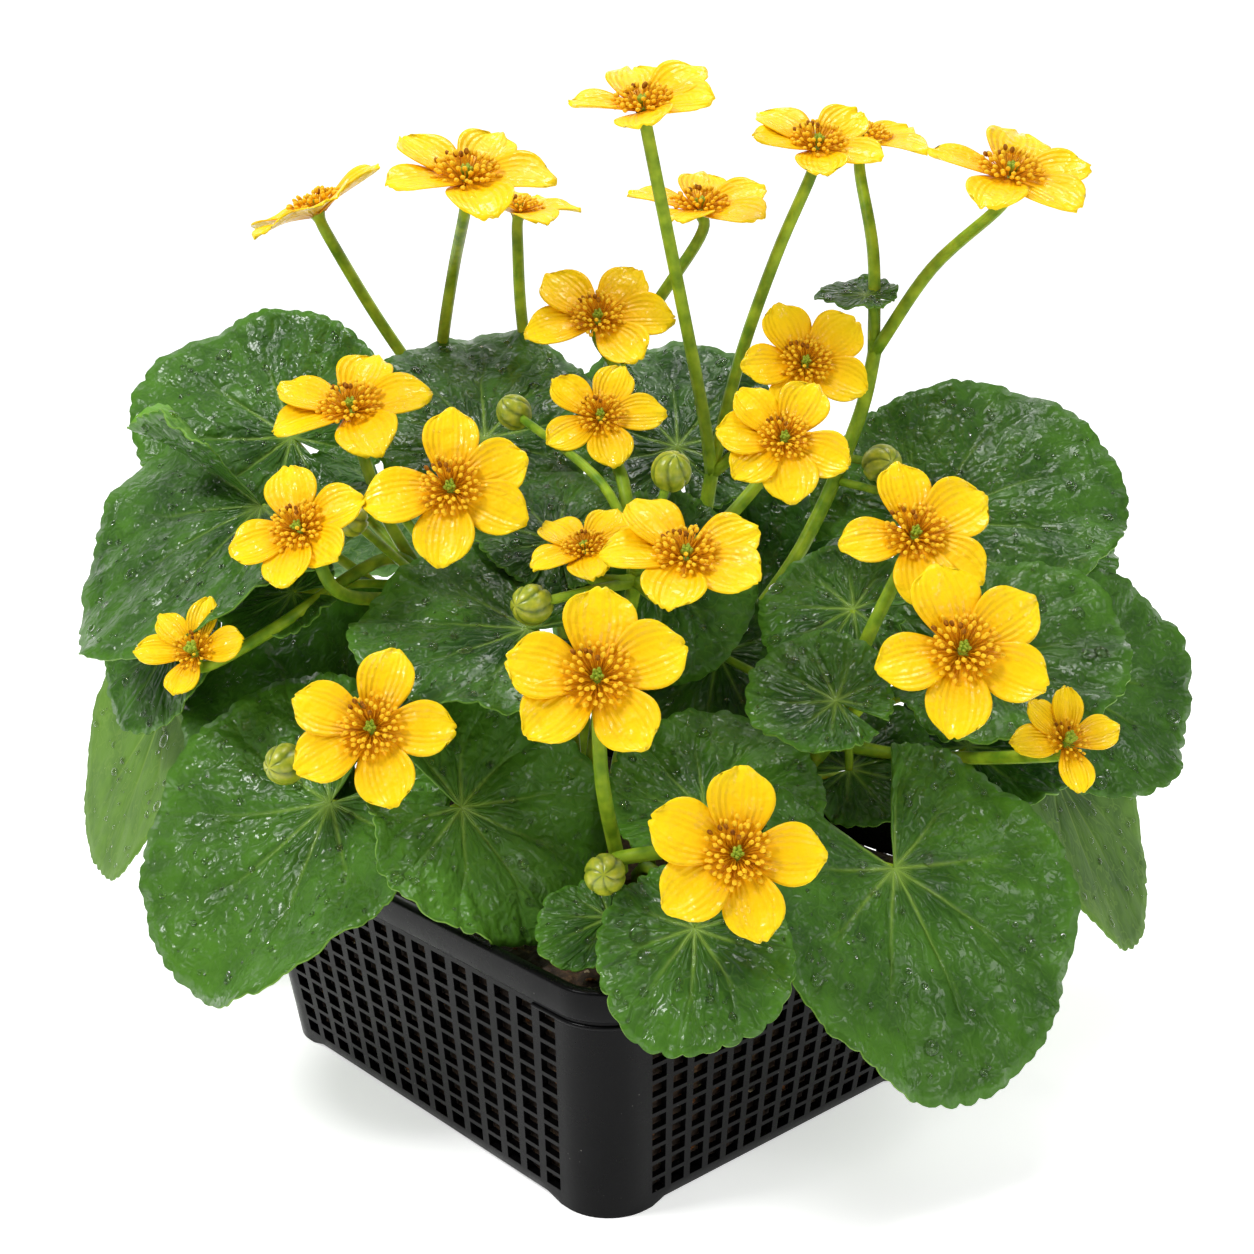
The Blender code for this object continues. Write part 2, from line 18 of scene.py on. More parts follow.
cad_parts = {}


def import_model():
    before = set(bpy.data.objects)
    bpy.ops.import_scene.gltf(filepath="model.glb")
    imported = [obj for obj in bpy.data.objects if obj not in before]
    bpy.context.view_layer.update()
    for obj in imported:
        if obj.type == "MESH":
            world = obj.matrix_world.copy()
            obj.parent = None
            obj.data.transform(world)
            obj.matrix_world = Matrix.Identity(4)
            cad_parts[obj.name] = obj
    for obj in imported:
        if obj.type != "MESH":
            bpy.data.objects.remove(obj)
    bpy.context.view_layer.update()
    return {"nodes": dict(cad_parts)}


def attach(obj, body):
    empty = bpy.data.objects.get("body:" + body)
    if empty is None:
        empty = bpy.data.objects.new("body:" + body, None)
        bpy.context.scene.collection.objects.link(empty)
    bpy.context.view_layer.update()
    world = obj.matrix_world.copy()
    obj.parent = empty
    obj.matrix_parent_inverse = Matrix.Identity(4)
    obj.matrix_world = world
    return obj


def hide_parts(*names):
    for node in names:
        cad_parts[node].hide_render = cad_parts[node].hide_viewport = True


LOG = logging.getLogger("marsh_marigold")
MM = 0.001
FRONT_CORNER = math.radians(48)
BODY = "root"
CROWN_TOP = 70.3               # height at which stalks and stems leave the rootstock
GOLDEN_ANGLE = 2.39996
FACE_SHARE = 0.8               # share of a quarter of the basket that is wall, the rest being corner

Point = tuple[float, float, float]
Warp = Callable[[np.ndarray, np.ndarray], np.ndarray]
Socket = bpy.types.NodeSocket
Adder = Callable[..., Socket]


class Side(Enum):
    """Material slots of a leaf."""

    UPPER = 0
    UNDER = 1
    EDGE = 2


class Tissue(Enum):
    """Material slots of a flower's heart."""

    ANTHER = 0
    FILAMENT = 1
    CARPEL = 2
    SHADED_BROWN = 3


@dataclass(frozen=True)
class LeafPlan:
    """Where a leaf grows and how its blade hangs.

    Args:
        hinge: where the stalk meets the blade (across, near, up).
        length: from the hinge to the tip.
        facing: azimuth and elevation of the upper side.
        turn: direction of the tip, clockwise from uphill.
        foot: where the stalk leaves the rootstock (across, near), if it has one.
        bends: how far the left half, the right half and the tip bend.
        fold: angle from the tip where the blade folds over, and by how much.
    """

    hinge: Point
    length: float
    facing: tuple[float, float]
    turn: float
    foot: tuple[float, float] | None = None
    bends: tuple[float, float, float] = (10, 10, 10)
    fold: tuple[float, float] | None = None


@dataclass(frozen=True)
class FlowerPlan:
    """Where a flower sits.

    Args:
        centre: middle of the cup (across, near, up).
        radius: length of a sepal.
        facing: azimuth and elevation that it looks to.
        cup: how steeply the sepals rise.
        clock: direction of each sepal, clockwise from uphill.
    """

    centre: Point
    radius: float
    facing: tuple[float, float]
    cup: float
    clock: tuple[float, ...]


@dataclass(frozen=True)
class StemPlan:
    """Route of a flowering stem, its branches, its buds and its stem leaves."""

    trunk: tuple[Point, ...]
    branches: dict[str, tuple[Point, ...]]
    buds: tuple[tuple[tuple[Point, ...], float], ...] = ()
    leaves: dict[str, LeafPlan] = field(default_factory=dict)


LEAVES: dict[str, LeafPlan] = {
    "back_left": LeafPlan((-106, -77, 188), 58, (0, 38), 305, (-17, -14), (15, 15, 10)),
    "left": LeafPlan((-107, -27, 173), 69, (-25, 57), 228, (-19, -2), (20, 10, 25), (62, 105)),
    "left_low": LeafPlan((-138, -30, 130), 34, (-40, 35), 190, (-23, -9)),
    "left_hanging": LeafPlan((-148, -54, 102), 68, (-58, 28), 204, (-30, -7)),
    "left_middle": LeafPlan((-76, 12, 105), 64, (-18, 40), 308, (-23, 3)),
    "front_left": LeafPlan((-78, 36, 96), 65, (-22, 42), 218, (-28, 11), (45, 10, 10)),
    "front_mid_left": LeafPlan((-37, 62, 104), 48, (35, 36), 126, (-15, 26), (15, 20, 10)),
    "front_inner": LeafPlan((4, 89, 83), 20, (0, 65), 240, (-2, 32)),
    "front_centre": LeafPlan((26, 103, 86), 33, (0, 48), 182, (13, 31)),
    "centre_front": LeafPlan((31, 48, 98), 41, (0, 60), 28, (15, 23)),
    "front_right": LeafPlan((84, 60, 85), 64, (20, 38), 165, (26, 17), (10, 30, 10)),
    "right_middle": LeafPlan((114, 5, 132), 48, (-20, 55), 72, (24, 4)),
    "right_far": LeafPlan((150, -17, 117), 50, (20, 30), 92, (31, -2)),
    "right_hanging": LeafPlan((150, -27, 84), 62, (60, 35), 170, (32, -9)),
    "back_right": LeafPlan((110, -50, 164), 66, (-15, 44), 55, (24, -5), (10, 10, 15)),
    "right_back": LeafPlan((150, -75, 152), 32, (10, 50), 80, (26, -17), (10, 10, 15)),
    "back_centre": LeafPlan((-37, -44, 192), 53, (5, 52), 0, (-8, -9)),
    "centre_back": LeafPlan((-12, 0, 167), 34, (0, 58), 5, (-6, -3)),
    "centre_left": LeafPlan((-20, 30, 147), 49, (5, 62), 280, (-10, 17)),
    "back_far": LeafPlan((27, -89, 183), 52, (0, 48), 0, (7, -21)),
    "rear_left": LeafPlan((-80, -110, 166), 61, (-150, 50), 190, (-20, -23)),
    "rear_centre": LeafPlan((26, -119, 118), 60, (175, 42), 175, (4, -31)),
    "rear_right": LeafPlan((52, -80, 118), 60, (8, 30), 5, (18, -25)),
    "right_low": LeafPlan((114, 8, 104), 36, (0, 50), 60, (30, 9)),
}

# how light each leaf's green is: partly its own tone, partly painted light and shade, lighter on the front
# leaves in the light and darker on the rear and inner leaves in the plant's shadow
LEAF_TONES_AND_SHADE: dict[str, float] = {
    "front_left": 0.3, "front_mid_left": 0.45, "front_right": 0.15, "left_hanging": 0.4,
    "right_hanging": 0.15, "front_centre": 0.1, "centre_front": 0.3, "centre_left": -0.1, "centre_back": -0.15,
    "back_centre": -0.1, "rear_left": -0.3, "rear_centre": -0.3, "rear_right": -0.35, "right_low": -0.25,
    "left_low": -0.1, "left_middle": 0.05, "back_far": -0.25, "back_left": 0.0,
}

# half angle that a blade spans round its hinge, where its notch is wider than most
LEAF_SPREADS: dict[str, float] = {
    "front_right": 148, "front_left": 156, "front_mid_left": 158, "back_right": 158, "left_middle": 158,
    "back_left": 171, "back_far": 172, "back_centre": 170,
}

# how wavy and quilted a blade is, where it hangs smoother than most
LEAF_RELIEF: dict[str, float] = {"left_hanging": 0.3, "right_hanging": 0.3, "left_low": 0.6, "right_back": 0.7}

# flowers past their best, with narrow sepals, swollen carpels and few stamens left
SEEDING = ("14", "23")

FLOWERS: dict[str, FlowerPlan] = {
    "01": FlowerPlan((-91, -60, 263), 25, (-75, 65), 15, (10, 80, 150, 222, 295)),
    "02": FlowerPlan((-40, -30, 273), 27, (10, 62), 20, (30, 100, 170, 245, 315)),
    "03": FlowerPlan((-27, -80, 263), 20, (20, 80), 15, (30, 100, 170, 245, 315)),
    "04": FlowerPlan((14, -10, 293), 23, (-20, 62), 25, (40, 95, 160, 250, 335)),
    "05": FlowerPlan((33, -60, 264), 24, (0, 70), 20, (5, 75, 130, 200, 280)),
    "06": FlowerPlan((68, -40, 283), 23, (10, 58), 20, (50, 130, 190, 265, 320)),
    "07": FlowerPlan((88, -80, 286), 22, (20, 75), 15, (0, 72, 144, 216, 288)),
    "08": FlowerPlan((126, -30, 274), 26, (10, 60), 15, (25, 95, 150, 215, 290)),
    "09": FlowerPlan((0, -40, 230), 23, (0, 45), 10, (315, 35, 88, 145, 255)),
    "10": FlowerPlan((1, -10, 203), 19, (0, 40), 10, (310, 20, 85, 165, 235)),
    "11": FlowerPlan((-76, -20, 204), 24.5, (-5, 57), 15, (8, 72, 150, 238, 285)),
    "12": FlowerPlan((-42, 20, 186), 24, (0, 30), 10, (0, 68, 115, 185, 260)),
    "13": FlowerPlan((-86, 20, 174), 21.5, (-20, 40), 20, (335, 60, 120, 172, 238)),
    "14": FlowerPlan((-118, 23, 138), 17, (-10, 40), 25, (5, 80, 185, 265, 310)),
    "15": FlowerPlan((-60, 69, 129), 22.5, (0, 30), 10, (15, 92, 162, 238, 292)),
    "16": FlowerPlan((1, 80, 146), 24, (0, 35), 10, (3, 68, 148, 228, 280)),
    "17": FlowerPlan((-3, 30, 170), 17, (-20, 65), 25, (20, 80, 150, 222, 300)),
    "18": FlowerPlan((25, 50, 172), 23, (5, 56), 15, (325, 70, 125, 200, 272)),
    "19": FlowerPlan((65, -30, 217), 21.5, (0, 35), 15, (335, 50, 120, 200, 262)),
    "20": FlowerPlan((55, 10, 199), 20, (0, 35), 10, (320, 30, 118, 175, 228, 275)),
    "21": FlowerPlan((91, 30, 174), 23, (0, 40), 15, (350, 60, 135, 175, 258)),
    "22": FlowerPlan((100, 60, 148), 25, (0, 35), 10, (345, 55, 118, 190, 255)),
    "23": FlowerPlan((130, 60, 122), 16, (10, 40), 25, (10, 80, 180, 270, 320)),
    "24": FlowerPlan((36, 110, 109), 22.5, (0, 30), 10, (5, 92, 165, 232, 292)),
}

STEMS: dict[str, StemPlan] = {
    "back_left": StemPlan(
        ((-10, -18, 70), (-24, -52, 110), (-44, -78, 160), (-59, -92, 202)),
        {"01": ((-76, -84, 228),),
         "02": ((-53, -84, 226), (-48, -72, 247))},
    ),
    "back_centre": StemPlan(
        ((-2, -20, 70), (-8, -50, 115), (-16, -76, 150), (-16, -84, 176)),
        {"03": ((-26, -88, 220),),
         "05": ((14, -68, 226),),
         "09": ((6, -66, 205),)},
    ),
    "back_right": StemPlan(
        ((8, -11, 70), (20, -38, 110), (32, -50, 150), (38, -53, 183)),
        {"04": ((33, -44, 205),),
         "06": ((46, -54, 216), (57, -49, 250)),
         "19": ((60, -44, 200),)},
    ),
    "right_back": StemPlan(
        ((14, -13, 70), (42, -36, 120), (68, -52, 155), (86, -60, 195), (92, -62, 222)),
        {"07": ((91, -70, 250),),
         "08": ((107, -50, 246),)},
        ((((81, -58, 184), (92, -42, 184)), 6.5),
         (((80, -57, 176), (98, -38, 174)), 4.5)),
        {"fork": LeafPlan((88, -62, 237), 17, (-10, 70), 300)},
    ),
    "left": StemPlan(
        ((-13, -4, 70), (-40, -24, 112), (-54, -32, 146)),
        {"11": ((-67, -24, 170),),
         "13": ((-76, 8, 152),),
         "14": ((-66, -18, 158), (-96, 12, 143))},
        ((((-54, -32, 145), (-72, 14, 176)), 5),),
        {"tuft": LeafPlan((-93, 0, 151), 24, (-20, 50), 260)},
    ),
    "front_left": StemPlan(
        ((-11, 10, 70), (-31, 19, 95), (-39, 21, 116)),
        {"15": ((-49, 40, 120),),
         "12": ((-52, -8, 148), (-46, -8, 172))},
        ((((-38, 20, 113), (-60, 38, 120), (-88, 48, 112)), 6),),
    ),
    "centre": StemPlan(
        ((-3, 3, 70), (0, 4, 110), (8, 8, 140), (12, 18, 162)),
        {"10": ((8, 2, 185),),
         "17": ((6, 26, 160),),
         "18": ((18, 36, 158),),
         "20": ((36, 6, 172),)},
        ((((12, 18, 161), (2, 12, 186), (-26, -24, 203)), 5.5),
         (((12, 18, 160), (22, 12, 190)), 6),
         (((12, 18, 158), (0, 36, 160), (-18, 38, 156)), 6)),
        {"shade": LeafPlan((19, -15, 158), 40, (0, 28), 180)},
    ),
    "right": StemPlan(
        ((14, 8, 70), (54, 14, 90), (72, 20, 112)),
        {"21": ((78, 26, 140),),
         "22": ((86, 36, 136),),
         "23": ((98, 18, 104),)},
        (),
        {"inner": LeafPlan((77, 10, 148), 30, (-30, 45), 266),
         "small": LeafPlan((76, 20, 101), 31, (0, 55), 70),
         "deep": LeafPlan((38, -18, 127), 38, (0, 35), 190),
         "upper": LeafPlan((68, 46, 130), 27, (-10, 50), 300)},
    ),
    "front": StemPlan(
        ((5, 16, 70), (6, 44, 78), (7, 60, 85)),
        {"16": ((2, 74, 116),),
         "24": ((8, 74, 94), (38, 78, 99))},
        ((((7, 59, 85), (3, 96, 98)), 5.5),),
    ),
}

# ---------------------------------------------------------------- set-out and mesh helpers


def setout(across: float, near: float, up: float) -> np.ndarray:
    """Turn set-out values into the frame's X, Y and Z, in millimetres."""
    c, s = math.cos(FRONT_CORNER), math.sin(FRONT_CORNER)
    return np.array([across * c + near * s, across * s - near * c, up])


def unit(vector: np.ndarray) -> np.ndarray:
    """Scale a vector, or each row of an array of vectors, to length one."""
    return vector / np.maximum(np.linalg.norm(vector, axis=-1, keepdims=True), 1e-9)


def facing_frame(facing: tuple[float, float], turn: float) -> tuple[np.ndarray, np.ndarray, np.ndarray]:
    """Axes of a blade or a flower.

    Args:
        facing: azimuth and elevation of its upper side.
        turn: direction of its tip, clockwise from uphill.

    Returns:
        The normal, the tip direction and the side direction.
    """
    azimuth, elevation, turned = (math.radians(a) for a in (*facing, turn))
    flat, rise = math.cos(elevation), math.sin(elevation)
    normal = unit(setout(math.sin(azimuth) * flat, math.cos(azimuth) * flat, rise))
    uphill = unit(setout(-math.sin(azimuth) * rise, -math.cos(azimuth) * rise, flat))
    sideways = np.cross(uphill, normal)
    tip = uphill * math.cos(turned) + sideways * math.sin(turned)
    return normal, tip, np.cross(tip, normal)


def bent(distance: np.ndarray, degrees: np.ndarray, length: float) -> tuple[np.ndarray, np.ndarray]:
    """Run and lift of points at a distance along a sheet that bends evenly."""
    rate = np.radians(np.where(np.abs(degrees) < 0.1, 0.1, degrees)) / length
    return np.sin(rate * distance) / rate, (1 - np.cos(rate * distance)) / rate


def turned_about(axis: np.ndarray, points: np.ndarray, angles: np.ndarray) -> np.ndarray:
    """Turn each point by its own angle about an axis through the origin.

    Args:
        axis: a unit vector.
        points: one row each.
        angles: one for each point, in radians.

    Returns:
        The turned points.
    """
    c, s = np.cos(angles)[:, None], np.sin(angles)[:, None]
    along = (points @ axis)[:, None] * axis
    return points * c + np.cross(axis, points) * s + along * (1 - c)


def smooth_step(low: float, high: float, value: np.ndarray) -> np.ndarray:
    """Ease from 0 at low to 1 at high."""
    t = np.clip((value - low) / (high - low), 0, 1)
    return t * t * (3 - 2 * t)


def smooth_path(points: Sequence[np.ndarray], runs: int) -> np.ndarray:
    """Points along a Catmull-Rom curve through the given ones.

    Args:
        points: the points that it passes.
        runs: how many steps each span is divided into.

    Returns:
        The points of the curve, one row each.
    """
    ends = [2 * points[0] - points[1], *points, 2 * points[-1] - points[-2]]
    made = []
    for a, b, c, d in zip(ends, ends[1:], ends[2:], ends[3:]):
        for step in range(runs):
            t = step / runs
            made.append(0.5 * (2 * b + (c - a) * t + (2 * a - 5 * b + 4 * c - d) * t ** 2
                               + (3 * b - a - 3 * c + d) * t ** 3))
    made.append(points[-1])
    return np.array(made)


def add_grid(bm: bmesh.types.BMesh, columns: int, rows: int) -> tuple[list, np.ndarray, np.ndarray]:
    """Add a flat grid to a bmesh.

    Args:
        bm: the bmesh it joins.
        columns: cells across, over u from -1 to 1.
        rows: cells along, over v from 0 to 1.

    Returns:
        Its vertices, with the u and the v of each.
    """
    verts = bmesh.ops.create_grid(bm, x_segments=columns, y_segments=rows, size=1)["verts"]
    spots = np.array([vert.co[:2] for vert in verts])
    return verts, spots[:, 0], (spots[:, 1] + 1) / 2


def add_sheet(bm: bmesh.types.BMesh, columns: int, rows: int, warp: Warp) -> list:
    """Add a grid to a bmesh and bend it to shape.

    Args:
        bm: the bmesh it joins.
        columns: cells across.
        rows: cells along.
        warp: gives a point in millimetres for each u and v.

    Returns:
        Its vertices.
    """
    verts, u, v = add_grid(bm, columns, rows)
    for vert, spot in zip(verts, warp(u, v) * MM):
        vert.co = spot
    return verts


def faces_of(verts: Sequence[bmesh.types.BMVert]) -> set:
    """Every face that some vertices bound."""
    return {face for vert in verts for face in vert.link_faces}


def turned_to(way: np.ndarray) -> Matrix:
    """Turn that points Z along a way."""
    return Vector(way).to_track_quat("Z", "Y").to_matrix().to_4x4()


def swollen(spot: np.ndarray, turn: Matrix, radii: Sequence[float]) -> Matrix:
    """Matrix that makes a unit ball an ellipsoid of some radii, turned and set on a spot."""
    return Matrix.Translation(Vector(spot * MM)) @ turn @ Matrix.Diagonal((*(r * MM for r in radii), 1))


def add_tube(bm: bmesh.types.BMesh, path: np.ndarray, radii: np.ndarray, sides: int,
             ribs: float) -> None:
    """Add a closed tube along a path, with ribs along its length.

    Args:
        bm: the bmesh it joins.
        path: its centre line, one point a row.
        radii: its radius at each point.
        sides: how many facets it has round it.
        ribs: share of the radius by which every other edge stands in.
    """
    tangents = unit(np.gradient(path, axis=0))
    across = unit(np.cross(tangents[0], [0.3, 0.2, 1.0]))
    normals = []
    for tangent in tangents:
        across = unit(across - tangent * (across @ tangent))
        normals.append(across)
    normals = np.array(normals)
    others = np.cross(tangents, normals)
    last = len(path) - 1

    def warp(u: np.ndarray, v: np.ndarray) -> np.ndarray:
        """Wrap the grid round the path, with its first and last rows drawn to a point.

        Args:
            u: share of the way round.
            v: share of the way along.

        Returns:
            The places.
        """
        index = np.rint(v * (last + 2)).astype(int)
        ring = np.clip(index - 1, 0, last)
        angle = np.pi * u
        edge = np.rint((u + 1) / 2 * sides).astype(int)
        radius = radii[ring] * np.where(edge % 2 == 0, 1, 1 - ribs)
        radius = np.where((index == 0) | (index == last + 2), 0, radius)[:, None]
        return path[ring] + radius * (normals[ring] * np.cos(angle)[:, None]
                                      + others[ring] * np.sin(angle)[:, None])

    bmesh.ops.remove_doubles(bm, verts=add_sheet(bm, sides, last + 2, warp), dist=1e-7)


def closed(bm: bmesh.types.BMesh) -> None:
    """Merge doubles and point every face outwards.

    Args:
        bm: the bmesh, whose shapes are closed once merged.
    """
    bmesh.ops.remove_doubles(bm, verts=bm.verts, dist=1e-7)
    bmesh.ops.dissolve_degenerate(bm, dist=1e-8, edges=bm.edges)
    bmesh.ops.recalc_face_normals(bm, faces=bm.faces)


def finish_piece(name: str, bm: bmesh.types.BMesh, finishes: Sequence[bpy.types.Material],
                 smooth: bool = True) -> bpy.types.Object:
    """Make an object from a bmesh, dress it and let it ride on the basket's body.

    Args:
        name: the piece's name.
        bm: its shape, which is freed.
        finishes: its materials, in the order of its face indices.
        smooth: whether it is shaded smooth.

    Returns:
        The object, at the origin.
    """
    for face in bm.faces:
        face.smooth = smooth
    mesh = bpy.data.meshes.new(name)
    bm.to_mesh(mesh)
    bm.free()
    for finish in finishes:
        mesh.materials.append(finish)
    piece = bpy.data.objects.new(name, mesh)
    bpy.context.scene.collection.objects.link(piece)
    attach(piece, BODY)
    LOG.info("%s: %d faces", name, len(mesh.polygons))
    return piece


def thicken(piece: bpy.types.Object, thickness: float, offset: float) -> bpy.types.Modifier:
    """Give a sheet a wall.

    Args:
        piece: the sheet.
        thickness: of the wall, in millimetres.
        offset: -1 for all of it behind the sheet, 0 for half on each side.

    Returns:
        The modifier.
    """
    wall = piece.modifiers.new("thickness", "SOLIDIFY")
    wall.thickness = thickness * MM
    wall.offset = offset
    return wall


# ---------------------------------------------------------------- finishes


def srgb(code: str) -> tuple[float, float, float, float]:
    """Turn an sRGB colour to a linear one.

    Args:
        code: its hex code.

    Returns:
        Linear red, green and blue, with an alpha of 1.
    """
    parts = [int(code[i:i + 2], 16) / 255 for i in (1, 3, 5)]
    linear = [c / 12.92 if c <= 0.04045 else ((c + 0.055) / 1.055) ** 2.4 for c in parts]
    return (*linear, 1.0)


def add_node(tree: bpy.types.NodeTree, kind: str, settings: dict | None = None,
             links: dict | None = None, output: int | str = 0) -> Socket:
    """Add a node with its settings and links.

    Args:
        tree: the material's node tree.
        kind: the node's type name, after ShaderNode.
        settings: attributes by name, or input values by input name or number.
        links: output sockets by the name or number of the input that each feeds.
        output: name or number of the output that is wanted.

    Returns:
        That output.
    """
    node = tree.nodes.new(f"ShaderNode{kind}")
    for key, value in (settings or {}).items():
        if isinstance(key, str) and hasattr(node, key):
            setattr(node, key, value)
        else:
            node.inputs[key].default_value = value
    for key, socket in (links or {}).items():
        tree.links.new(socket, node.inputs[key])
    return node.outputs[output]


def new_finish(name: str) -> tuple[bpy.types.Material, Adder]:
    """Start a material.

    Args:
        name: its name.

    Returns:
        The material, and add_node bound to its tree.
    """
    made = bpy.data.materials.new(name)
    made.use_nodes = True
    return made, partial(add_node, made.node_tree)


def dress(made: bpy.types.Material, values: dict, links: dict | None = None) -> bpy.types.Material:
    """Set up a material's Principled shader.

    Args:
        made: the material.
        values: plain values by input name.
        links: sockets by the name of the input that each feeds.

    Returns:
        The material.
    """
    shader = made.node_tree.nodes["Principled BSDF"]
    for key, value in values.items():
        shader.inputs[key].default_value = value
    for key, socket in (links or {}).items():
        made.node_tree.links.new(socket, shader.inputs[key])
    return made


def ramped(add: Adder, factor: Socket, stops: Sequence[tuple[float, str]]) -> Socket:
    """Add a colour ramp.

    Args:
        add: adds a node to the material.
        factor: the socket that it reads.
        stops: places and hex colours, in order.

    Returns:
        Its colour.
    """
    colour = add("ValToRGB", links={0: factor}, output="Color")
    elements = colour.node.color_ramp.elements
    while len(elements) < len(stops):
        elements.new(0.5)
    for element, (position, code) in zip(elements, stops):
        element.position = position
        element.color = srgb(code)
    return colour


def mixed(add: Adder, factor: Socket, first: Socket | str, second: str) -> Socket:
    """Mix two colours.

    Args:
        add: adds a node to the material.
        factor: share of the second colour.
        first: a socket or a hex code.
        second: a hex code.

    Returns:
        The mixed colour.
    """
    settings, links = {"data_type": "RGBA", 7: srgb(second)}, {0: factor}
    if isinstance(first, str):
        settings[6] = srgb(first)
    else:
        links[6] = first
    return add("Mix", settings, links, 2)


@dataclass(frozen=True)
class LeafFinish:
    """Living leaf: waxy green skin, furrowed by its vein net and pale along the main veins.

    Args:
        name: the material's name.
        dark: colour of the deep green between the veins.
        light: colour of the lighter patches and of the painted sheen on the puffed meshes of the vein net.
        vein: colour of the main veins near the stalk.
        furrow: colour in the furrows of the vein net.
        roughness: of the skin.
        net: how strongly the vein net shows.
        wet: share of the skin that a film of water covers.
        cell: width of a mesh of the vein net, in millimetres.
        relief: how strongly the skin's unevenness catches the light.
    """

    name: str
    dark: str
    light: str
    vein: str
    furrow: str
    roughness: float
    net: float
    wet: float = 0.0
    cell: float = 7.5
    relief: float = 0.7

    def build(self) -> bpy.types.Material:
        """Make the material.

        Returns:
            The finished material.
        """
        made, add = new_finish(self.name)
        flat, ray = (add("UVMap", {"uv_map": name}) for name in ("leaf_plane", "leaf_ray"))
        vein, groove, tone = (add("Attribute", {"attribute_name": name}, output="Fac")
                              for name in ("vein", "groove", "tone"))
        cloud = add("TexNoise", {"Scale": 6.0, "Detail": 4.0}, {0: flat})
        stray = add("TexNoise", {"Scale": 16.0, "Detail": 2.0}, {0: flat})
        # the net's wide meshes follow the rays from the stalk and its fine ones the flat blade
        wide, fine = (
            add("TexVoronoi", {"feature": "DISTANCE_TO_EDGE", "Scale": count / self.cell},
                {0: add("VectorMath", {"operation": "MULTIPLY_ADD", 1: (sway,) * 3},
                        {0: stray.node.outputs["Color"], 2: place})}, "Distance")
            for place, sway, count in ((ray, 0.09, 100), (flat, 0.05, 220)))
        net, pillow, skin = (
            add("MapRange", {"interpolation_type": "SMOOTHSTEP", 1: 0.0, 2: reach, 3: edge, 4: 1 - edge},
                {0: mesh})
            for mesh, reach, edge in ((wide, 0.05, 1.0), (wide, 0.4, 0.0), (fine, 0.35, 0.0)))
        patch = add("Math", {"operation": "MULTIPLY_ADD", 1: 1.5, 2: -0.45}, {0: cloud})
        # painted sheen: the puffed middle of each mesh of the vein net is mixed towards the light green
        patch = add("Math", {"operation": "MULTIPLY_ADD", 1: 0.25}, {0: pillow, 2: patch})
        # the tone attribute adds each leaf's own lightness and its painted light and shade
        patch = add("Math", {"operation": "ADD", "use_clamp": True}, {0: patch, 1: tone})
        lines = add("Math", {"operation": "MAXIMUM"}, {0: net, 1: groove})
        shade = add("Math", {"operation": "MULTIPLY", 1: self.net}, {0: lines})
        colour = mixed(add, shade, mixed(add, patch, self.dark, self.light), self.furrow)
        height = add("Math", {"operation": "MULTIPLY_ADD", 1: 0.25}, {0: skin, 2: pillow})
        height = add("Math", {"operation": "MULTIPLY_ADD", 1: 1.2}, {0: stray, 2: height})
        height = add("Math", {"operation": "SUBTRACT"}, {0: height, 1: groove})
        bump = add("Bump", {"Strength": self.relief, "Distance": 0.00065}, {"Height": height})
        film = add("MapRange", {"interpolation_type": "SMOOTHSTEP", 1: 0.5, 2: 0.6, 3: 0.15 * self.wet,
                                4: self.wet}, {0: stray})
        return dress(made, {"Roughness": self.roughness, "IOR": 1.3, "Coat IOR": 1.35, "Coat Roughness": 0.07,
                            "Subsurface Weight": 0.05, "Subsurface Radius": (0.002, 0.003, 0.001)},
                     {"Base Color": mixed(add, vein, colour, self.vein), "Normal": bump, "Coat Normal": bump,
                      "Coat Weight": film})


@dataclass(frozen=True)
class PetalFinish:
    """Waxy yellow sepal: deep golden at the foot, partly its own colour and partly painted shade round the
    heart, clear yellow at the rim, with faint veins.
    """

    name: str
    rim: str = "#FFDA0C"
    middle: str = "#FEC602"
    # the foot's deeper gold is partly the sepal's own colour and partly painted shade round the heart
    foot: str = "#E89A00"
    vein: str = "#C06A00"
    roughness: float = 0.4

    def build(self) -> bpy.types.Material:
        """Make the material.

        Returns:
            The finished material.
        """
        made, add = new_finish(self.name)
        reach, vein = (add("Attribute", {"attribute_name": name}, output="Fac") for name in ("reach", "vein"))
        colour = ramped(add, reach, ((0.05, self.foot), (0.4, self.middle), (0.9, self.rim)))
        faint = add("Math", {"operation": "MULTIPLY", 1: 0.2}, {0: vein})
        spot = add("TexCoord", output="Object")
        film = add("TexNoise", {"Scale": 240.0, "Detail": 2.0}, {0: spot})
        ripple = add("Math", {"operation": "MULTIPLY_ADD", 1: -0.4}, {0: vein, 2: film})
        bump = add("Bump", {"Strength": 0.8, "Distance": 0.0014}, {"Height": ripple})
        wet = add("MapRange", {"interpolation_type": "SMOOTHSTEP", 1: 0.5, 2: 0.58, 3: 0.08, 4: 1.0}, {0: film})
        far = add("MapRange", {1: 0.3, 2: 0.9, 3: 0.15, 4: 1.0}, {0: reach})
        wet = add("Math", {"operation": "MULTIPLY"}, {0: wet, 1: far})
        return dress(made, {"Roughness": self.roughness, "IOR": 1.25, "Coat IOR": 1.33, "Coat Roughness": 0.06,
                            "Subsurface Weight": 0.08, "Subsurface Radius": (0.003, 0.002, 0.0005)},
                     {"Base Color": mixed(add, faint, colour, self.vein), "Normal": bump, "Coat Normal": bump,
                      "Coat Weight": wet})


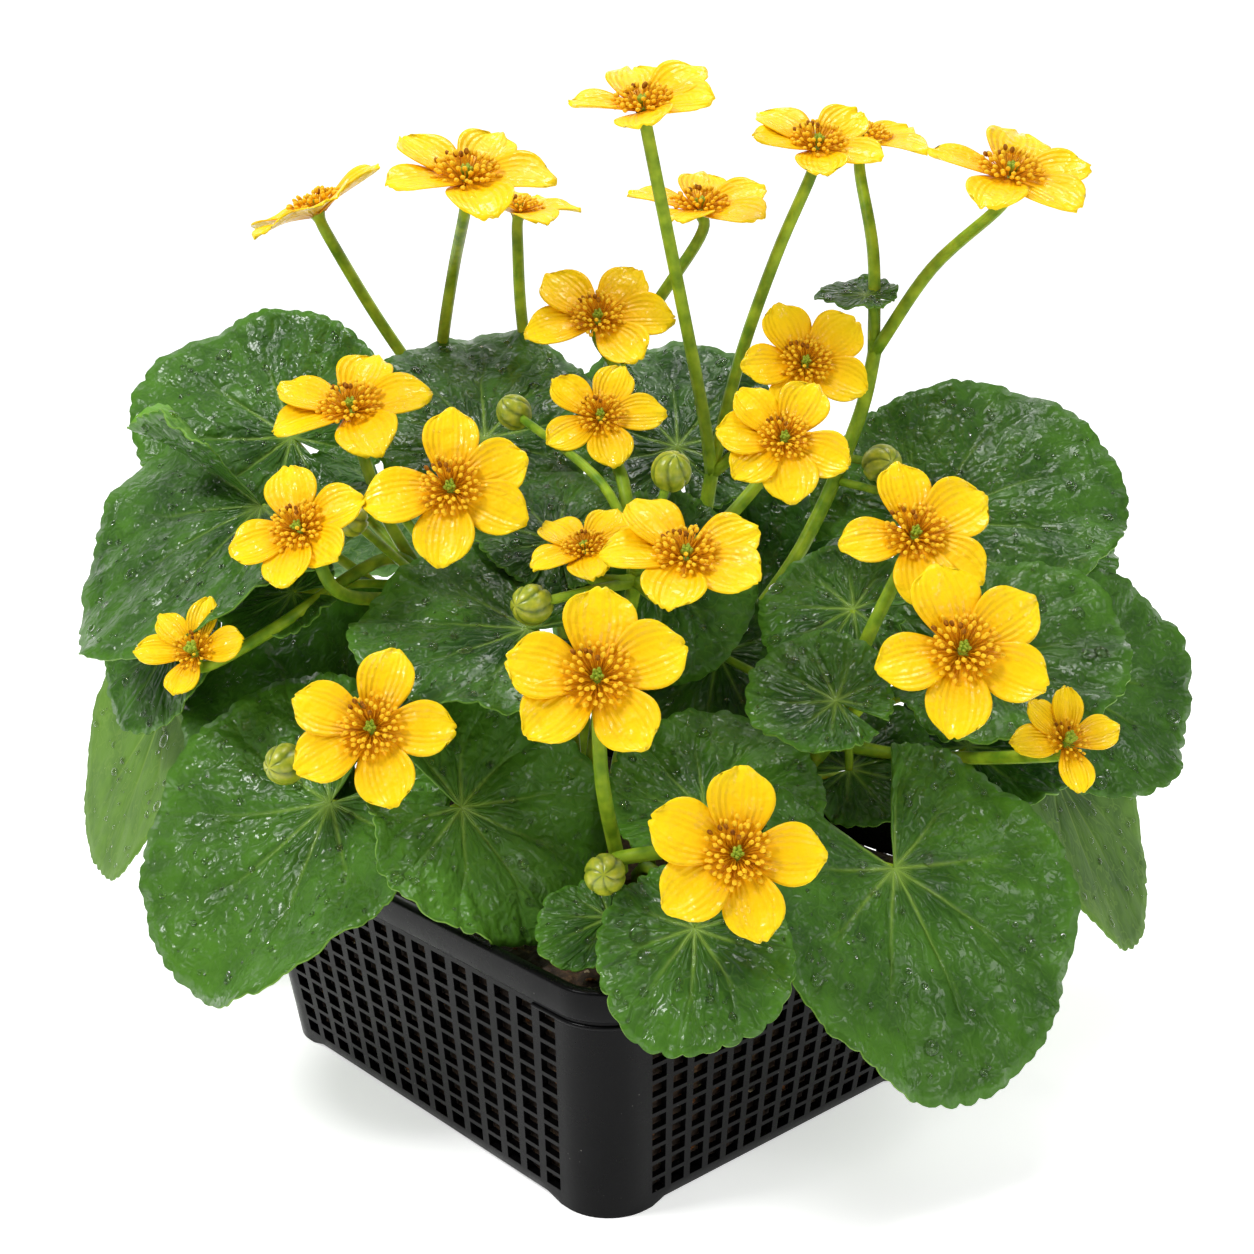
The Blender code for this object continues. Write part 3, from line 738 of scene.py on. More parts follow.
@dataclass(frozen=True)
class TissueFinish:
    """Plain plant tissue, such as stems, anthers and carpels, mottled at its own scale."""

    name: str
    dark: str
    light: str
    roughness: float = 0.45
    grain: float = 2.5             # size of the mottling, in millimetres
    relief: float = 0.2

    def build(self) -> bpy.types.Material:
        """Make the material.

        Returns:
            The finished material.
        """
        made, add = new_finish(self.name)
        spot = add("TexCoord", output="Object")
        cloud = add("TexNoise", {"Scale": 1 / (self.grain * MM), "Detail": 3.0}, {0: spot})
        return dress(made, {"Roughness": self.roughness, "IOR": 1.25, "Subsurface Weight": 0.05},
                     {"Base Color": ramped(add, cloud, ((0.3, self.dark), (0.7, self.light))),
                      "Normal": add("Bump", {"Strength": self.relief, "Distance": 0.0003}, {"Height": cloud})})


@dataclass(frozen=True)
class BudFinish:
    """Closed bud: yellow-green sepals pressed together, with deep green seams between them."""

    name: str
    dark: str = "#87991C"
    light: str = "#BFC032"
    seam: str = "#4A6212"
    roughness: float = 0.32

    def build(self) -> bpy.types.Material:
        """Make the material.

        Returns:
            The finished material.
        """
        made, add = new_finish(self.name)
        spot = add("TexCoord", output="Object")
        cloud = add("TexNoise", {"Scale": 400.0, "Detail": 2.0}, {0: spot})
        seam = add("Attribute", {"attribute_name": "seam"}, output="Fac")
        colour = ramped(add, cloud, ((0.3, self.dark), (0.7, self.light)))
        return dress(made, {"Roughness": self.roughness}, {"Base Color": mixed(add, seam, colour, self.seam)})


@dataclass(frozen=True)
class MouldedPlastic:
    """Injection-moulded polypropylene: satin black with a fine texture and pale scuffs."""

    name: str = "moulded_black_polypropylene"
    base: str = "#060607"
    scuff: str = "#111214"
    dust: str = "#7D7A74"
    roughness: float = 0.26

    def build(self) -> bpy.types.Material:
        """Make the material.

        Returns:
            The finished material.
        """
        made, add = new_finish(self.name)
        spot = add("TexCoord", output="Object")
        grain = add("TexNoise", {"Scale": 900.0, "Detail": 2.0}, {0: spot})
        wear = add("TexNoise", {"Scale": 70.0, "Detail": 6.0, "Roughness": 0.7}, {0: spot})
        speck = add("TexVoronoi", {"Scale": 420.0}, {0: spot}, "Distance")
        patch, settled, rough, speck = (
            add("MapRange", dict(enumerate(limits, 1)), {0: source})
            for source, limits in ((wear, (0.56, 0.75, 0.0, 0.35)), (wear, (0.55, 0.62, 0.0, 1.0)),
                                   (wear, (0.3, 0.7, self.roughness - 0.08, self.roughness + 0.16)),
                                   (speck, (0.07, 0.1, 0.6, 0.0))))
        dusty = add("Math", {"operation": "MULTIPLY"}, {0: speck, 1: settled})
        colour = mixed(add, dusty, mixed(add, patch, self.base, self.scuff), self.dust)
        return dress(made, {"IOR": 1.2}, {
            "Base Color": colour, "Roughness": rough,
            "Normal": add("Bump", {"Strength": 0.12, "Distance": 0.0002}, {"Height": grain})})


@dataclass(frozen=True)
class SoilFinish:
    """Damp peaty soil: dark crumbs with brown fibre and tan specks."""

    name: str
    dark: str = "#1B120A"
    middle: str = "#3C2A18"
    light: str = "#84643F"

    def build(self) -> bpy.types.Material:
        """Make the material.

        Returns:
            The finished material.
        """
        made, add = new_finish(self.name)
        spot = add("TexCoord", output="Object")
        crumbs = add("TexVoronoi", {"Scale": 320.0}, {0: spot}, "Distance")
        cloud = add("TexNoise", {"Scale": 180.0, "Detail": 8.0, "Roughness": 0.7}, {0: spot})
        return dress(made, {"Roughness": 0.85}, {
            "Base Color": ramped(add, cloud, ((0.35, self.dark), (0.55, self.middle), (0.75, self.light))),
            "Normal": add("Bump", {"Strength": 0.9, "Distance": 0.0015}, {"Height": crumbs})})


@dataclass(frozen=True)
class WaterFinish:
    """Clear water: no colour, a mirror-smooth skin and the bending of light of water."""

    name: str = "clear_water"

    def build(self) -> bpy.types.Material:
        """Make the material.

        Returns:
            The finished material.
        """
        return dress(new_finish(self.name)[0], {"Base Color": srgb("#FFFFFF"), "Transmission Weight": 1.0,
                                                "Roughness": 0.0, "IOR": 1.333})


class Palette:
    """Every finish of the plant, made once."""

    def __init__(self) -> None:
        """Make all the finishes."""
        self.upper = LeafFinish("waxy_leaf_upper", "#173C0C", "#4A7A1F", "#93B548", "#5C8A2C",
                                0.36, 0.22, 0.7).build()
        self.dull = LeafFinish("dull_leaf_upper", "#2C5214", "#5E8626", "#93AE4C", "#6E9234",
                               0.65, 0.5, 0.0, 9.0, 0.15).build()
        self.under = LeafFinish("pale_leaf_underside", "#3F7218", "#659A2A", "#AFCB5C", "#8DB448",
                                0.45, 0.35).build()
        self.edge = LeafFinish("thin_leaf_margin", "#41701C", "#6C9632", "#86AC4A", "#2C5A1C", 0.4, 0.0).build()
        self.petal = PetalFinish("waxy_yellow_sepal").build()
        self.stem = TissueFinish("ribbed_green_stem", "#588216", "#9CB82A", 0.42, 6.0, 0.15).build()
        self.bud = BudFinish("green_gold_bud").build()
        self.anther = TissueFinish("yellow_anther", "#EFB00C", "#FFD430", 0.5, 0.8, 0.5).build()
        # brown anthers stand in as painted shade among the stamens
        self.shaded_anther = TissueFinish("shade_brown_anther", "#6B3A08", "#B5710E", 0.6, 0.8, 0.5).build()
        self.filament = TissueFinish("golden_filament", "#D28A08", "#F2AE10", 0.5, 1.0).build()
        self.carpel = TissueFinish("green_carpel", "#6F8F18", "#B4C03A", 0.4, 0.8).build()
        self.plastic = MouldedPlastic().build()
        self.soil = SoilFinish("damp_peat_soil").build()
        self.bark = TissueFinish("brown_bark", "#4A2A14", "#9A6237", 0.8, 1.2, 0.8).build()
        self.grit = TissueFinish("tan_grit", "#7C6B52", "#BCA987", 0.75, 1.0, 0.6).build()
        self.root = TissueFinish("damp_brown_rootstock", "#2A1A0E", "#5C4023", 0.7, 2.0, 0.8).build()
        self.water = WaterFinish().build()


# ---------------------------------------------------------------- leaves


@dataclass
class Leaf:
    """A kidney-shaped leaf with its stalk and the water that lies on it."""

    name: str
    plan: LeafPlan
    palette: Palette
    slot: str = "leaf"
    tone: float = 0.0              # how light its green is, partly its own tone and partly painted light and shade
    breadth: float = 0.92
    spread: float = 163.0
    thickness: float = 0.55
    columns: int = 200
    rows: int = 14
    tooth: float = 4.6             # width of a scallop of the margin
    tooth_depth: float = 1.3
    girth: float = 4.6             # length of the margin as a share of the blade's
    vein_step: float = 36.0        # angle between the main veins
    crumple: float = 1.0           # share of the usual relief
    dull_below: float = 0.5        # crumple of the smoother leaves, which have a dull skin
    full_length: float = 48        # of the shortest blade with the full relief
    bead_rate: float = 2.2         # beads of water for each millimetre of length
    stalk_radii: tuple[float, float] = (2.1, 1.6)

    def __post_init__(self) -> None:
        """Work out the leaf's axes and its own seed."""
        self.normal, self.tip, self.side = facing_frame(self.plan.facing, self.plan.turn)
        self.hinge = setout(*self.plan.hinge)
        self.rng = np.random.default_rng(sum(ord(c) * (i + 3) for i, c in enumerate(self.name)))
        self.waves = self.rng.uniform(0, 2 * math.pi, 4)
        self.vein_step *= self.rng.uniform(0.92, 1.08)
        self.depth = min(1.0, self.plan.length / self.full_length) * self.crumple

    def outline(self, angle: np.ndarray) -> np.ndarray:
        """Radius of the blade in each direction from the tip, without its scallops."""
        wobble = 1.02 + 0.025 * np.sin(3 * angle + self.waves[0]) + 0.02 * np.sin(5 * angle + self.waves[1])
        return self.plan.length * (0.78 + 0.22 * np.cos(angle)) * wobble

    def flat(self, u: np.ndarray, v: np.ndarray) -> tuple[np.ndarray, np.ndarray, np.ndarray]:
        """Lay out the flat blade, with its scallops.

        Args:
            u: share of the way round, from -1 to 1.
            v: share of the way out, from 0 to 1.

        Returns:
            The place across, the place along and the direction from the tip.
        """
        angle = u * math.radians(self.spread)
        teeth = max(12, round(self.plan.length * self.girth / self.tooth))
        shift = 0.5 * np.sin(5 * angle + self.waves[1])
        scallop = np.abs(np.cos(angle * teeth / 2 + shift)) ** 0.55 - 0.7
        scallop *= 1 + 0.35 * np.sin(9 * angle + self.waves[0])
        radius = v * self.outline(angle) + self.tooth_depth * scallop * v ** 12
        return self.breadth * radius * np.sin(angle), radius * np.cos(angle), angle

    def veins(self, u: np.ndarray, v: np.ndarray) -> tuple[np.ndarray, np.ndarray]:
        """Find the veins, which fork towards the margin.

        Args:
            u: share of the way round.
            v: share of the way out.

        Returns:
            The distance to the nearest vein and its half width, in millimetres.
        """
        across, along, angle = self.flat(u, v)
        radius = np.hypot(across, along)
        step = math.radians(self.vein_step)
        stray = angle + 0.07 * v * np.sin(5 * v + 2.3 * angle + self.waves[2])
        off = np.abs((stray / step + 0.5) % 1 - 0.5) * step
        fork = 0.26 * step * smooth_step(0.42, 1.0, v)
        twig = 0.42 * step * smooth_step(0.6, 1.0, v) + 0.02
        main = np.abs(off - fork) * radius
        fine = np.where(v > 0.6, np.abs(off - twig - fork * 0.2) * radius, 9.0)
        return np.minimum(main, fine + 0.25), 0.56 - 0.32 * v

    def surface(self, u: np.ndarray, v: np.ndarray) -> np.ndarray:
        """Bend and fold the flat blade.

        Args:
            u: share of the way round.
            v: share of the way out.

        Returns:
            Points of the blade without its relief.
        """
        across, along, angle = self.flat(u, v)
        left, right, droop = self.plan.bends
        length = self.plan.length
        run, lift = bent(across, np.where(across > 0, right, left), length)
        ahead, down = bent(np.maximum(along, 0), np.full_like(along, droop), length)
        ahead = np.where(along > 0, ahead, along)
        spot = (self.side * run[:, None] + self.tip * ahead[:, None]
                + self.normal * (lift - down)[:, None])
        if self.plan.fold:
            start, amount = self.plan.fold
            at = math.radians(start)
            crease = self.side * math.sin(at) + self.tip * math.cos(at)
            share = np.clip((np.abs(angle) - abs(at)) / math.radians(40), 0, 1)
            share = np.where(angle * start > 0, share, 0)
            sign = -1 if start > 0 else 1
            spot = turned_about(crease, spot, np.radians(amount) * share * sign)
        return self.hinge + spot

    def relief(self, u: np.ndarray, v: np.ndarray) -> np.ndarray:
        """Raise the surface over the plain blade: sunk veins, quilting and a wavy margin.

        Args:
            u: share of the way round.
            v: share of the way out.

        Returns:
            Its height at each place.
        """
        distance, width = self.veins(u, v)
        angle = u * math.radians(self.spread)
        across, along, _ = self.flat(u, v)
        sunk = -0.55 * np.exp(-(distance / (width + 0.45)) ** 2)
        quilt = 0.9 * (1 - np.exp(-(distance / 3.6) ** 2))
        puff = (np.sin(across * 0.75 + 1.3 * np.sin(along * 0.4) + self.waves[0])
                * np.sin(along * 0.8 + 1.2 * np.sin(across * 0.37) + self.waves[1])) * 0.26
        wave = (1.9 * np.sin(6 * angle + self.waves[2]) + 1.0 * np.sin(11 * angle + self.waves[3])
                + 0.6 * np.sin(23 * angle + self.waves[1]) * v ** 6)
        skin = (sunk + quilt + puff) * smooth_step(0.04, 0.3, v) * (1 - 0.5 * v ** 8)
        return (skin + wave * v ** 4) * self.depth

    def dressed(self, u: np.ndarray, v: np.ndarray) -> np.ndarray:
        """Add the relief to the blade.

        Args:
            u: share of the way round.
            v: share of the way out.

        Returns:
            Points of the finished skin.
        """
        step = 0.004
        here = self.surface(u, v)
        du = self.surface(u + step, np.maximum(v, 0.05)) - self.surface(u - step, np.maximum(v, 0.05))
        dv = self.surface(u, v + step) - self.surface(u, v - step)
        out = unit(np.cross(du, dv))
        out = np.where((np.sum(out * out, axis=1) < 0.5)[:, None], self.normal, out)
        return here + out * self.relief(u, v)[:, None]

    def blade(self) -> bpy.types.Object:
        """Make the blade, thick and with its own vein marks.

        Returns:
            The blade.
        """
        bm = bmesh.new()
        plane = bm.loops.layers.uv.new("leaf_plane")
        ray = bm.loops.layers.uv.new("leaf_ray")
        layers = {key: bm.verts.layers.float.new(key) for key in ("vein", "groove", "tone")}
        verts, u, v = add_grid(bm, self.columns, self.rows)
        v = v ** 0.85              # closer rows towards the margin
        placed = self.dressed(u, v) * MM
        across, along, angle = self.flat(u, v)
        distance, width = self.veins(u, v)
        line = np.exp(-(distance / width) ** 2)
        mark = 0.62 * line * smooth_step(0.75, 0.05, v) + 0.25 * np.exp(-(v / 0.06) ** 2)
        glow = 0.35 * (1 + np.sin(angle * 3 + self.waves[0])) * smooth_step(0.55, 0.95, v)
        # the tone attribute holds the leaf's lightness, painted light and shade included, with lighter bands
        # towards the margin
        tone = self.tone + self.rng.uniform(-0.08, 0.08) + 0.4 * glow + 0.5 * smooth_step(0.93, 1.0, v)
        for index, vert in enumerate(verts):
            vert.co = placed[index]
            vert[layers["vein"]] = float(mark[index])
            vert[layers["groove"]] = float(line[index] * v[index])
            vert[layers["tone"]] = float(tone[index])
            for loop in vert.link_loops:
                loop[plane].uv = (across[index] / 100 + 0.5, along[index] / 100 + 0.5)
                loop[ray].uv = (angle[index] * 0.42, v[index] * self.plan.length / 190)
        bmesh.ops.remove_doubles(bm, verts=bm.verts, dist=1e-7)
        total = sum((face.normal * face.calc_area() for face in bm.faces), Vector())
        if total.dot(Vector(self.normal)) < 0:
            bmesh.ops.reverse_faces(bm, faces=bm.faces)
        skin = self.palette.dull if self.crumple < self.dull_below else self.palette.upper
        blade = finish_piece(f"{self.name}_blade", bm, (skin, self.palette.under, self.palette.edge))
        wall = thicken(blade, self.thickness, -1)
        wall.material_offset = Side.UNDER.value
        wall.material_offset_rim = Side.EDGE.value
        return blade

    def stalk_path(self) -> np.ndarray:
        """Lead the stalk from the rootstock to the hinge.

        Returns:
            Points of its centre line, one row each.
        """
        start = setout(*self.plan.foot, CROWN_TOP)
        end = self.hinge - self.normal * 0.8
        reach = np.linalg.norm(end - start)
        rise = 0.12 + 0.23 * min(1, (self.plan.hinge[2] - 70) / 60)
        lead = start + np.array([0, 0, rise * reach]) + 0.1 * (end - start)
        trail = end - (0.75 * self.normal + 0.4 * self.tip) * 0.3 * reach
        t = np.linspace(0, 1, 26)[:, None]
        return (1 - t) ** 3 * start + 3 * t * (1 - t) ** 2 * lead + 3 * t * t * (1 - t) * trail + t ** 3 * end

    def stalk(self) -> bpy.types.Object:
        """Make the ribbed stalk.

        Returns:
            The stalk.
        """
        bm = bmesh.new()
        path = self.stalk_path()
        radii = np.linspace(*self.stalk_radii, len(path))
        radii[:3] += (1.2, 0.6, 0.2)
        add_tube(bm, path, radii, 12, 0.12)
        closed(bm)
        return finish_piece(f"{self.name}_stalk", bm, (self.palette.stem,))

    def beads(self, count: int) -> bpy.types.Object:
        """Lay beads of water on the upper side.

        Args:
            count: how many beads there are.

        Returns:
            The beads as one object.
        """
        bm = bmesh.new()
        u = self.rng.uniform(-0.93, 0.93, count)
        v = np.sqrt(self.rng.uniform(0.03, 0.88, count))
        here = self.dressed(u, v)
        du, dv = self.dressed(u + 0.01, v) - here, self.dressed(u, v + 0.01) - here
        out = unit(np.cross(du, dv))
        out *= np.sign(out @ self.normal + 1e-6)[:, None] if not self.plan.fold else 1
        sizes = 0.45 + 1.0 * self.rng.random(count) ** 3
        large = round(self.plan.length / 12)
        sizes[:large] = self.rng.uniform(1.5, 2.8, large)
        for spot, normal, size in zip(here, out, sizes):
            high = size * (0.6 if size < 1.6 else 0.42)
            radii = (size, size * self.rng.uniform(0.75, 1.15), high)
            bmesh.ops.create_icosphere(bm, subdivisions=1 + int(size > 0.58) + int(size > 1.7), radius=1,
                                       matrix=swollen(spot + normal * 0.3 * high, turned_to(normal), radii))
        return finish_piece(f"water_{self.name}", bm, (self.palette.water,))

    def build(self) -> None:
        """Make the leaf in place of its solid."""
        blade = self.blade()
        if self.plan.foot:
            self.stalk()
            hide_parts(self.name)
        self.beads(max(14, round(self.plan.length * self.bead_rate)))


# ---------------------------------------------------------------- flowers


@dataclass
class Flower:
    """A cup of waxy sepals round a dome of stamens and carpels."""

    name: str
    plan: FlowerPlan
    palette: Palette
    breadth: float = 0.355         # half width of a sepal as a share of its length
    thickness: float = 0.4
    stamens: int = 64
    carpels: int = 9
    seeding: bool = False
    usual_radius: float = 24       # of the flower whose heart the sizes below give

    def __post_init__(self) -> None:
        """Work out the flower's axes and its own seed."""
        self.size = self.plan.radius / self.usual_radius
        self.normal, self.uphill, _ = facing_frame(self.plan.facing, 0)
        self.sideways = np.cross(self.uphill, self.normal)
        self.centre = setout(*self.plan.centre)
        self.rng = np.random.default_rng(700 + int(self.name[-2:]))

    def sepal_warp(self, clock: float, layer: int) -> Warp:
        """Warp of a sepal.

        Args:
            clock: its direction, clockwise from uphill.
            layer: its place in the overlap, counted from the outside.

        Returns:
            The warp, whose v runs from the foot to the rim.
        """
        angle = math.radians(clock)
        out = self.uphill * math.cos(angle) + self.sideways * math.sin(angle)
        across = np.cross(self.normal, out)
        length = self.plan.radius * self.rng.uniform(0.97, 1.04)
        breadth = length * self.breadth * self.rng.uniform(0.95, 1.15) * (0.8 if self.seeding else 1)
        roll = math.radians(self.rng.uniform(2, 8))
        cup = math.radians(self.plan.cup)
        spoon = self.rng.uniform(0.5, 0.9)
        tip_turn = self.rng.uniform(-0.1, 0.35)
        notch = self.rng.uniform(0, 0.045)
        wave = self.rng.uniform(0, 6.28)

        def warp(u: np.ndarray, v: np.ndarray) -> np.ndarray:
            """Bend a narrow-footed, round-shouldered strip into the cup.

            Args:
                u: share of the half width.
                v: share of the length.

            Returns:
                The places.
            """
            foot = 0.32 + 0.68 * np.sin(np.clip(v / 0.64, 0, 1) * math.pi / 2) ** 1.4
            shoulder = np.sqrt(np.clip(1 - (np.clip(v - 0.53, 0, 1) / 0.5) ** 2.6, 0.12, 1))
            half = breadth * foot * shoulder
            reach = v * (1 - 0.1 * u ** 2 * v ** 2) - notch * np.exp(-(u / 0.16) ** 2) * v ** 10
            slope = cup + 0.5 - 0.85 * v * 0.7 + tip_turn * v ** 3
            run = length * reach * np.cos(slope * 0.8)
            lift = length * reach * np.sin(slope * 0.55) * 0.75
            side = half * u
            lift = lift + spoon * side ** 2 / length * (0.5 + 0.5 * v) + side * math.sin(roll)
            ruffle = 0.5 * np.sin(5 * u + wave) + 0.25 * np.sin(11 * u + 2 * wave)
            lift = lift + ruffle * v ** 5 - 0.22 * layer
            return (self.centre + out * (1.2 + run)[:, None] + across * side[:, None]
                    + self.normal * lift[:, None])

        return warp

    def sepals(self) -> bpy.types.Object:
        """Make the sepals, each overlapping its neighbour.

        Returns:
            The sepals as one object.
        """
        bm = bmesh.new()
        layers = {key: bm.verts.layers.float.new(key) for key in ("vein", "reach")}
        for layer, clock in enumerate(self.plan.clock):
            verts, u, v = add_grid(bm, 20, 14)
            placed = self.sepal_warp(clock, layer % 3)(u, v) * MM
            lines = np.abs(np.sin(u * math.pi * 5.5 + 0.6)) ** 5 * (1 - v) ** 0.6
            for index, vert in enumerate(verts):
                vert.co = placed[index]
                vert[layers["vein"]] = float(lines[index])
                vert[layers["reach"]] = float(v[index])
        bmesh.ops.recalc_face_normals(bm, faces=bm.faces)
        piece = finish_piece(f"{self.name}_sepals", bm, (self.palette.petal,))
        thicken(piece, self.thickness, 0)
        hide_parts(self.name)
        return piece

    def heart(self) -> bpy.types.Object:
        """Make the stamens and carpels.

        Returns:
            The heart.
        """
        bm = bmesh.new()
        base = self.centre + self.normal * 0.8
        wide, high, crown = (1.35, 7.2, 3.0) if self.seeding else (0.8, 4.4, 2.1)
        for index in range(self.carpels):
            ring = crown * math.sqrt(index / self.carpels)
            self.lobe(bm, base, self.spot(index * 2.4, ring, high), (wide, wide), Tissue.CARPEL)
        count = self.stamens // 2 if self.seeding else self.stamens
        for index in range(count):
            angle = index * GOLDEN_ANGLE + self.rng.uniform(-0.1, 0.1)
            share = math.sqrt((index + 3) / (count + 3))
            ring = 2.0 + 7.6 * share * self.rng.uniform(0.84, 1.06)
            height = 6.2 - 3.4 * share ** 2 + self.rng.uniform(-0.6, 0.6)
            root, end = self.spot(angle, ring * 0.3, 0.8), self.spot(angle, ring, height)
            self.lobe(bm, root, end, (0.22, 0.22), Tissue.FILAMENT)
            way = unit(end - root) * 1.05 * self.size
            # one anther in thirteen is painted brown as shade among the stamens
            tip = Tissue.SHADED_BROWN if index % 13 == 0 else Tissue.ANTHER
            self.lobe(bm, end - way * 0.8, end + way, (0.78, 0.66), tip)
        palette = self.palette
        finishes = (palette.anther, palette.filament, palette.carpel, palette.shaded_anther)
        return finish_piece(f"{self.name}_heart", bm, finishes)

    def spot(self, angle: float, ring: float, height: float) -> np.ndarray:
        """A place over the middle of the cup, scaled with the flower."""
        out = self.uphill * math.cos(angle) + self.sideways * math.sin(angle)
        return self.centre + (out * ring + self.normal * height) * self.size

    def lobe(self, bm: bmesh.types.BMesh, start: np.ndarray, end: np.ndarray,
             radii: tuple[float, float], tissue: Tissue) -> None:
        """Add one rounded lobe of the heart.

        Args:
            bm: the bmesh it joins.
            start: its foot.
            end: its tip.
            radii: its half widths, for a flower of the usual radius.
            tissue: what it is made of.
        """
        way = end - start
        matrix = swollen((start + end) / 2, turned_to(way),
                         (radii[0] * self.size, radii[1] * self.size, float(np.linalg.norm(way)) / 2))
        made = bmesh.ops.create_uvsphere(bm, u_segments=6, v_segments=5, radius=1, matrix=matrix)
        for face in faces_of(made["verts"]):
            face.material_index = tissue.value

    def build(self) -> None:
        """Make the flower in place of its solid."""
        self.sepals()
        self.heart()


# ---------------------------------------------------------------- stems


@dataclass
class Stem:
    """A flowering stem with its forks, buds and stem leaves."""

    name: str
    plan: StemPlan
    palette: Palette
    trunk_radius: float = 2.6
    branch_radius: float = 2.0

    def bud(self, bm: bmesh.types.BMesh, spot: np.ndarray, way: np.ndarray, radius: float) -> None:
        """Add a round bud of five overlapping sepals.

        Args:
            bm: the bmesh it joins.
            spot: its middle.
            way: where its tip points.
            radius: its radius.
        """
        made = bmesh.ops.create_uvsphere(bm, u_segments=40, v_segments=18, radius=1)["verts"]
        turn = turned_to(way).to_3x3()
        mark = bm.verts.layers.float["seam"]
        for vert in made:
            angle = math.atan2(vert.co.y, vert.co.x) + 0.5 * vert.co.z
            off = abs((angle / (2 * math.pi) * 6) % 1 - 0.5) * 2
            seam = math.exp(-((1 - off) / 0.2) ** 2) if vert.co.z > -0.8 else 0.0
            size = radius * (1 - 0.13 * seam)
            flat = Vector((vert.co.x * size, vert.co.y * size, vert.co.z * radius * (1.05 - 0.05 * seam)))
            vert[mark] = seam * 0.85
            vert.co = (Vector(spot) + turn @ flat) * MM
        for face in faces_of(made):
            face.material_index = 1

    def build(self) -> None:
        """Make the stem in place of its solid."""
        bm = bmesh.new()
        bm.verts.layers.float.new("seam")
        trunk = [setout(*point) for point in self.plan.trunk]
        trunk[0][2] = CROWN_TOP
        path = smooth_path(trunk, 8)
        add_tube(bm, path, np.linspace(self.trunk_radius, self.trunk_radius * 0.9, len(path)), 16, 0.1)
        way = unit(trunk[-1] - trunk[-2])
        for flower, route in self.plan.branches.items():
            plan = FLOWERS[flower]
            normal = facing_frame(plan.facing, 0)[0]
            seat = setout(*plan.centre) - normal * 0.2
            points = [trunk[-1] - way * 4, *(setout(*point) for point in route), seat - normal * 9, seat]
            path = smooth_path(points, 7)
            radii = np.linspace(self.branch_radius * 1.1, self.branch_radius * 0.92, len(path))
            radii[-3:] *= (1.05, 1.2, 1.5)
            add_tube(bm, path, radii, 14, 0.12)
        for route, radius in self.plan.buds:
            points = [setout(*point) for point in route]
            path = smooth_path(points, 8)
            add_tube(bm, path, np.linspace(self.branch_radius * 0.8, self.branch_radius * 0.7, len(path)),
                     12, 0.1)
            lean = unit(points[-1] - points[-2]) + np.array([0, 0, 0.4]) + setout(0, 0.9, 0)
            self.bud(bm, points[-1], unit(lean), radius)
        for label, plan in self.plan.leaves.items():
            leaf = Leaf(f"bract_{label}", plan, self.palette, "stem", columns=110, rows=9, spread=171.0)
            end = leaf.hinge - leaf.normal * 0.6
            middle = (trunk[-1] + end) / 2 + way * 2
            path = smooth_path([trunk[-1] - way, middle, end], 6)
            add_tube(bm, path, np.linspace(1.7, 1.3, len(path)), 10, 0.1)
            leaf.build()
        piece = finish_piece(f"{self.name}_ribbed", bm, (self.palette.stem, self.palette.bud))
        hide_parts(self.name)


# ---------------------------------------------------------------- basket and soil


